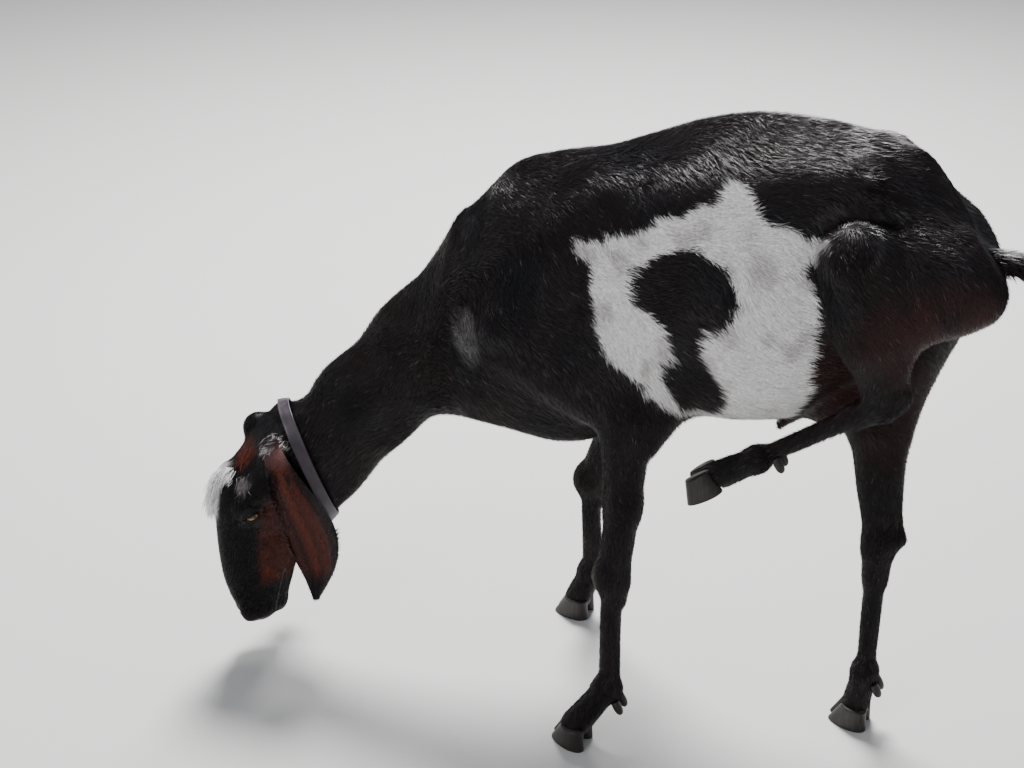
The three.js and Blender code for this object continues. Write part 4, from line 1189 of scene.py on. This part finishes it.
def unrolled(p, knots):
    """How far each point is along a line, and its angle round it."""
    best = np.full(len(p), np.inf)
    along, angle = np.zeros(len(p)), np.zeros(len(p))
    done = 0.0
    for a, b in zip(knots, knots[1:]):
        step = b - a
        size = np.linalg.norm(step)
        d = p - a
        t = np.clip(d @ step / size ** 2, 0, 1)
        off = d - t[:, None] * step
        far = np.linalg.norm(off, axis=1)
        v = unit(np.cross(ACROSS, step))
        u = np.cross(step / size, v)
        take = far < best
        best[take] = far[take]
        along[take] = (done + t * size)[take]
        angle[take] = np.arctan2(off @ v, off @ u)[take]
        done += size
    return along, angle


def on_map(p, region):
    """Places on an unwrap of a region, spread over the whole map."""
    if kind(region) == "ear":
        at, across, above = ear_places(p, side_in(region))[:3]
        u, v = across + np.where(above > 0, 0, 2.4), at
    else:
        v, u = unrolled(p, axis_of(region))
    places = np.column_stack([u, v])
    low, high = places.min(0), places.max(0)
    return 0.01 + 0.98 * (places - low) / np.maximum(high - low, 1e-6)


def grow_coat(skin):
    """The short coat, in pieces by region. Each tuft's tip is brought to its height over the skin."""
    rng = np.random.default_rng(COAT_SEED)
    corners, share = scatter(skin, rng)

    def spread(values):
        return np.einsum("ij,ij...->i...", share, values[corners])

    root, normal, lie = spread(skin.p), units(spread(skin.normal)), spread(skin.flow)
    w, depth = spread(skin.w), spread(skin.depth)
    n = len(root)
    length = spread(skin.length) * rng.uniform(0.65, 1.25, n)
    width = spread(skin.width) * rng.uniform(0.7, 1.3, n) / THIN ** 0.5
    lie = units(lie - normal * (lie * normal).sum(1)[:, None])
    twist = rng.normal(0, 0.2, n)
    lie = lie * np.cos(twist)[:, None] + np.cross(normal, lie) * np.sin(twist)[:, None]
    high = 0.25 + 0.7 * rng.random(n) ** 1.3
    tip = root + lie * length[:, None] + normal * (high * depth)[:, None]
    region = w.argmax(1)
    short = np.array([kind(x) == "ear" for x in skin.names])[region]
    d = body_form(tip) + depth * (1 - high)
    tip = tip - normal * np.where(short, 0, np.clip(d, -9, 9))[:, None]
    jag = rng.normal(0, 1.7, n)
    colours = coat_colour(root, skin.names, w, jag)
    shade = rng.normal(1, 0.16, n)
    grey = rng.random(n) < 0.012
    colours = np.clip(colours * shade[:, None], 0.002, BRIGHTEST)
    colours[grey] = colours[grey] * 0.6 + GREY * 0.25
    pieces = []
    for i, name in enumerate(skin.names):
        mine = np.flatnonzero(region == i)
        if len(mine) == 0:
            continue
        angle = unrolled(root[mine], axis_of(name))
        order = mine[np.lexsort((angle[0], angle[1] > 0))] if kind(name) == "trunk" else mine
        for part, some in enumerate(np.array_split(order, math.ceil(len(order) / MOST_TUFTS))):
            own = [values[some] for values in (root, normal, lie, length, width, tip, colours)]
            pieces.append(tuft_mesh(f"coat_{name}_{part + 1}", *own, on_map(root[some], name)))
    return pieces


def grown(region, start):
    """Points brought onto the skin of a region, and its normals there."""
    def field(p):
        return body_form(p) + COAT[region]

    root = to_surface(field, start, rounds=6, most=12)
    return root, units(gradient(field, root))


def forelock(rng, count=620):
    """The white lock down the middle of the forehead, which stands out from it and curls down."""
    at = rng.uniform(34, 112, count)
    start = np.array([on_head(a, 84, l) for a, l in zip(at, rng.normal(0, 5.5, count))])
    root, normal = grown("head", start)
    length = rng.uniform(20, 34, count) * (1 - 0.35 * smoothstep(85, 112, at))
    stand = rng.uniform(0.35, 0.75, count)
    stray = rng.normal(0, 0.16, (count, 3))
    paths = []
    for t in np.linspace(0, 1, 6):
        out = normal * (stand * (t - 0.55 * t * t))[:, None]
        down = (HEAD_DOWN + stray) * (0.25 * t + 0.75 * t * t)
        paths.append(root - normal * 0.6 + (out * 1.5 + down) * length[:, None])
    colours = np.clip(WHITE * rng.normal(1, 0.1, (count, 1)), 0, BRIGHTEST)
    return strand_mesh("coat_forelock", np.stack(paths, 1), rng.uniform(0.5, 0.9, count), colours,
                       on_map(root, "head"))


def ragged(rng, name, at, spread, way, length, tint, count):
    """A small tuft of longer hair on the left of the head, round a place in the head's measures."""
    places = vec(*at) + rng.normal(0, 1, (count, 3)) * spread
    root, normal = grown("head", np.array([on_head(*q) for q in places]))
    reach = rng.uniform(0.5, 1.1, count) * length
    lie = way + rng.normal(0, 0.3, (count, 3))
    lie = units(lie - normal * ((lie * normal).sum(1) - 0.35)[:, None])
    paths = [root - normal * 0.5 + (lie * t - normal * (0.3 * t * t)) * reach[:, None]
             for t in np.linspace(0, 1, 4)]
    colours = np.clip(tint * rng.normal(1, 0.16, (count, 1)), 0, BRIGHTEST)
    return strand_mesh(name, np.stack(paths, 1), rng.uniform(0.3, 0.55, count), colours, on_map(root, "head"))


def tufts_of_the_head(rng):
    """Tufts on the left of the head: at the ear's root and over the eye, pale as a painted highlight; white
    hair beside the crest, and brown hair below the poll.
    """
    # The pale tint of the ear-root and brow tufts is a painted highlight.
    pale = WHITE * 0.42 + PINKISH * 0.5
    swept, forwards, nodding = (HEAD_DOWN * a + HEAD_FACE * b for a, b in ((0.6, 0.8), (1, 0.7), (1, 0.3)))
    return [
        ragged(rng, "coat_ear_root_tuft_painted_highlight", (4, -7, 50), (5, 9, 5), swept, 16, pale, 240),
        ragged(rng, "coat_brow_tuft_painted_highlight", (61, 43, 38), (7, 5, 4), HEAD_DOWN, 15, pale * 0.38, 130),
        ragged(rng, "coat_crest_side", (46, 60, 15), (6, 5, 6), forwards, 20, WHITE, 330),
        ragged(rng, "coat_poll_tuft", (28, 28, 10), (7, 6, 6), nodding, 18, RUFOUS * 0.8, 240),
    ]


def lashes(rng, count=34):
    """The lashes of both upper lids."""
    paths = []
    for s in SIDES:
        t = np.linspace(0.12, 0.88, count) * math.pi
        u = OPENING["half_length"] * np.cos(t)
        v = OPENING["upper"] * np.sin(t) ** 2 + OPENING["dip"] * np.cos(t) + 0.7
        w = np.sqrt(np.maximum((EYE_R + LID) ** 2 - u * u - v * v, 0))
        length = (6 + 3 * np.sin(t)) * rng.uniform(0.8, 1.15, count)
        for k in range(count):
            root = EYE_AT + u[k] * SLIT + v[k] * EYE_UP + (w[k] - 0.6) * EYE_OUT
            steps = []
            for f in np.linspace(0, 1, 5):
                curl = EYE_OUT * f + EYE_UP * (0.55 * f * f - 0.35 * f)
                fan = SLIT * 0.35 * f * u[k] / OPENING["half_length"]
                steps.append(from_side(root + (curl + fan) * length[k], s))
            paths.append(steps)
    paths = np.array(paths)
    width, colours = np.full(len(paths), 0.28), np.tile(BLACK, (len(paths), 1))
    return strand_mesh("coat_lashes", paths, width, colours, on_map(paths[:, 0], "head"))


def tail_fringe(rng, count=900):
    """Long hair along the tail, black above and grey-white on its left and lower edge."""
    knots = np.array([k for k, _ in TAIL])
    f = rng.uniform(0.6, len(knots) - 1.01, count)
    i = f.astype(int)
    middle = knots[i] + (knots[i + 1] - knots[i]) * (f - i)[:, None]
    along = units(knots[i + 1] - knots[i])
    turn = rng.uniform(0, 2 * math.pi, count)
    u = units(np.cross(along, ACROSS))
    out = u * np.cos(turn)[:, None] + np.cross(along, u) * np.sin(turn)[:, None]
    root, normal = grown("tail", middle + out * 9)
    length = rng.uniform(26, 48, count) * (1 - 0.3 * (f / (len(knots) - 1)))
    paths = []
    for t in np.linspace(0, 1, 5):
        reach = along * t + normal * (0.26 * (t - 0.6 * t * t)) + vec(0, 0, -0.22) * t * t
        paths.append(root - normal + reach * length[:, None])
    low_left = -normal[:, 1] * 0.8 - normal[:, 2] * 0.3 - normal[:, 0] * 0.6
    pale = smoothstep(-0.1, 0.5, low_left + rng.normal(0, 0.2, count))
    colours = over(np.tile(BLACK, (count, 1)), GREY * 1.2, 0.85 * pale)
    return strand_mesh("coat_tail_fringe", np.stack(paths, 1), rng.uniform(0.5, 0.9, count), colours,
                       on_map(root, "tail"))


# ---------------------------------------------------------------- materials
def material(name, roughness, **fixed):
    """A new material with its nodes, links and shader."""
    made = bpy.data.materials.new(name)
    made.use_nodes = True
    nodes, links = made.node_tree.nodes, made.node_tree.links
    shader = nodes["Principled BSDF"]
    shader.inputs["Roughness"].default_value = roughness
    for socket, value in fixed.items():
        shader.inputs[socket.replace("_", " ")].default_value = value
    return made, nodes, links, shader


def noise(nodes, links, scale, detail=3.0, stretch=(1, 1, 1)):
    """Noise over the object's own coordinates in metres."""
    where = nodes.new("ShaderNodeTexCoord")
    mapping = nodes.new("ShaderNodeMapping")
    mapping.inputs["Scale"].default_value = stretch
    made = nodes.new("ShaderNodeTexNoise")
    made.inputs["Scale"].default_value = scale
    made.inputs["Detail"].default_value = detail
    links.new(where.outputs["Object"], mapping.inputs["Vector"])
    links.new(mapping.outputs["Vector"], made.inputs["Vector"])
    return made


def neutral(level):
    return (level,) * 3


def ramp(nodes, links, source, stops):
    made = nodes.new("ShaderNodeValToRGB")
    while len(made.color_ramp.elements) < len(stops):
        made.color_ramp.elements.new(0.5)
    for element, (at, value) in zip(made.color_ramp.elements, stops):
        element.position = at
        element.color = (*value, 1)
    links.new(source, made.inputs["Fac"])
    return made


def bump(nodes, links, shader, height, strength, distance):
    made = nodes.new("ShaderNodeBump")
    made.inputs["Strength"].default_value = strength
    made.inputs["Distance"].default_value = distance
    links.new(height, made.inputs["Height"])
    links.new(made.outputs["Normal"], shader.inputs["Normal"])


def painted(nodes, links, shader, scale, low, high):
    """Base colour from the painted vertices, a little uneven."""
    read = nodes.new("ShaderNodeAttribute")
    read.attribute_name = "coat"
    grain = noise(nodes, links, scale).outputs["Fac"]
    uneven = ramp(nodes, links, grain, [(0.3, neutral(low)), (0.7, neutral(high))])
    both = nodes.new("ShaderNodeMix")
    both.data_type = "RGBA"
    both.blend_type = "MULTIPLY"
    both.inputs[0].default_value = 1.0
    of_colour = [socket for socket in both.inputs if socket.type == "RGBA"]
    shown = next(socket for socket in both.outputs if socket.type == "RGBA")
    links.new(read.outputs["Color"], of_colour[0])
    links.new(uneven.outputs["Color"], of_colour[1])
    links.new(shown, shader.inputs["Base Color"])
    return shown


def glossier_black(nodes, links, shader, shown, black, white):
    """Roughness from the colour shown: dark hair is glossier than pale hair."""
    rough = ramp(nodes, links, shown, [(0.0, neutral(black)), (0.3, neutral(white))])
    links.new(rough.outputs["Color"], shader.inputs["Roughness"])


def coat_material():
    made, nodes, links, shader = material("coat", 0.42, Specular_IOR_Level=0.22)
    shown = painted(nodes, links, shader, scale=260, low=0.8, high=1.15)
    glossier_black(nodes, links, shader, shown, black=0.36, white=0.62)
    return made


def skin_material():
    made, nodes, links, shader = material("skin", 0.5, Specular_IOR_Level=0.15)
    shown = painted(nodes, links, shader, scale=420, low=0.7, high=1.1)
    glossier_black(nodes, links, shader, shown, black=0.44, white=0.66)
    hairs = noise(nodes, links, scale=900, detail=4, stretch=(0.35, 1, 0.6))
    bump(nodes, links, shader, hairs.outputs["Fac"], strength=0.5, distance=0.0006)
    return made


def eye_material():
    made, nodes, links, shader = material("eye", 0.12, Specular_IOR_Level=0.5, Coat_Weight=1.0,
                                          Coat_Roughness=0.02)
    painted(nodes, links, shader, scale=900, low=0.85, high=1.1)
    return made


def horn_material():
    made, nodes, links, shader = material("claw", 0.45, Specular_IOR_Level=0.4)
    streaks = noise(nodes, links, scale=260, detail=5, stretch=(1, 1, 0.12))
    tone = ramp(nodes, links, streaks.outputs["Fac"], [(0.25, colour(16, 13, 12)), (0.55, colour(30, 25, 23)),
                                                      (0.8, colour(54, 47, 41))])
    links.new(tone.outputs["Color"], shader.inputs["Base Color"])
    bump(nodes, links, shader, streaks.outputs["Fac"], strength=0.35, distance=0.0008)
    return made


def leather_material():
    made, nodes, links, shader = material("leather", 0.5, Specular_IOR_Level=0.45)
    wear = noise(nodes, links, scale=60, detail=4)
    tone = ramp(nodes, links, wear.outputs["Fac"], [(0.3, colour(38, 30, 38)), (0.7, colour(54, 45, 54))])
    links.new(tone.outputs["Color"], shader.inputs["Base Color"])
    grain = nodes.new("ShaderNodeTexVoronoi")
    grain.inputs["Scale"].default_value = 900
    where = nodes.new("ShaderNodeTexCoord")
    links.new(where.outputs["Object"], grain.inputs["Vector"])
    bump(nodes, links, shader, grain.outputs["Distance"], strength=0.3, distance=0.0004)
    return made


# ---------------------------------------------------------------- the scene
FLESH = ["trunk", "neck", "head", "tail", "udder", "ear_left", "ear_right"]
FLESH += [f"{limb}_{side}_{half}" for limb in ("foreleg", "hindleg") for side in ("left", "right")
          for half in ("upper", "lower")]


def place(thing, look, slot, *nodes):
    thing.data.materials.clear()
    thing.data.materials.append(look)
    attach(thing, "root")
    if nodes:
        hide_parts(*nodes)


def build():
    skin = make_skin()
    on_skin = Skin(skin)
    tones = coat_colour(on_skin.p, on_skin.names, on_skin.w, np.zeros(len(on_skin.p)))
    # The skin's colour is darkened, as painted shade under the coat.
    paint(skin, tones * SKIN_PAINTED_SHADE)
    place(skin, skin_material(), "coat_black", *FLESH)
    hair = coat_material()
    rng = np.random.default_rng(LONG_HAIR_SEED)
    for piece in [*grow_coat(on_skin), forelock(rng), *tufts_of_the_head(rng), lashes(rng), tail_fringe(rng)]:
        place(piece, hair, "coat_black")
    glass, horn = eye_material(), horn_material()
    for s, side in SIDES.items():
        place(eye(s), glass, "eye", f"eye_{side}")
    limbs = [(f"{limb}_{side}", legs[s]) for limb, legs in (("foreleg", FORE), ("hindleg", HIND))
             for s, side in SIDES.items()]
    for limb, leg in limbs:
        for s, claw, dewclaw in foot_places(leg):
            side = SIDES[s]
            node = f"{limb}_claw_{side}"
            place(claw_mesh(f"{node}_horn", -s, claw), horn, "hoof", node)
            node = f"{limb}_dewclaw_{side}"
            place(dewclaw_mesh(f"{node}_horn", dewclaw), horn, "hoof", node)
    place(collar_mesh(), leather_material(), "collar", "collar")


FLOOR_REACH = 30.0                       # metres from the middle to each edge
FLOOR_TONE = (0.52, 0.52, 0.505, 1)


def floor():
    """A plain pale floor, far bigger than the goat."""
    mesh = bpy.data.meshes.new("floor")
    corners = [(FLOOR_REACH * x, FLOOR_REACH * y, 0) for x, y in ((-1, -1), (1, -1), (1, 1), (-1, 1))]
    mesh.from_pydata(corners, [], [(0, 1, 2, 3)])
    made = linked("floor", mesh)
    look, _, _, shader = material("floor", 0.85)
    shader.inputs["Base Color"].default_value = FLOOR_TONE
    mesh.materials.append(look)


def area_light(name, at, target, size, power, tint):
    light = bpy.data.lights.new(name, "AREA")
    light.shape = "DISK"
    light.size = size
    light.energy = power
    light.color = tint
    made = linked(name, light)
    made.location = at
    made.rotation_euler = (Vector(target) - Vector(at)).to_track_quat("-Z", "Y").to_euler()


def lights():
    """A high soft key and a lower rim from the goat's right, a fill from its left, and a pale surround."""
    area_light("key", (-0.9, 1.8, 3.8), (0.05, 0, 0.6), size=1.4, power=470, tint=(1, 0.97, 0.97))
    area_light("rim", (-0.8, 3.2, 2.8), (0.1, 0, 0.7), size=1.2, power=110, tint=(1, 0.96, 0.98))
    area_light("fill", (-1.0, -3.2, 2.3), (0, 0, 0.4), size=2.6, power=52, tint=(0.98, 0.98, 1))
    world = bpy.data.worlds.new("studio")
    world.use_nodes = True
    sky = world.node_tree.nodes["Background"]
    sky.inputs["Color"].default_value = (0.9, 0.93, 1, 1)
    sky.inputs["Strength"].default_value = 0.5
    bpy.context.scene.world = world


def place_camera():
    camera = bpy.data.cameras.new("camera")
    camera.lens = 56.25
    stand = linked("camera", camera)
    stand.location = (0.6056, -1.8685, 1.5)
    stand.rotation_euler = (math.radians(63), 0, math.radians(22))
    bpy.context.scene.camera = stand


build()
floor()
lights()
place_camera()
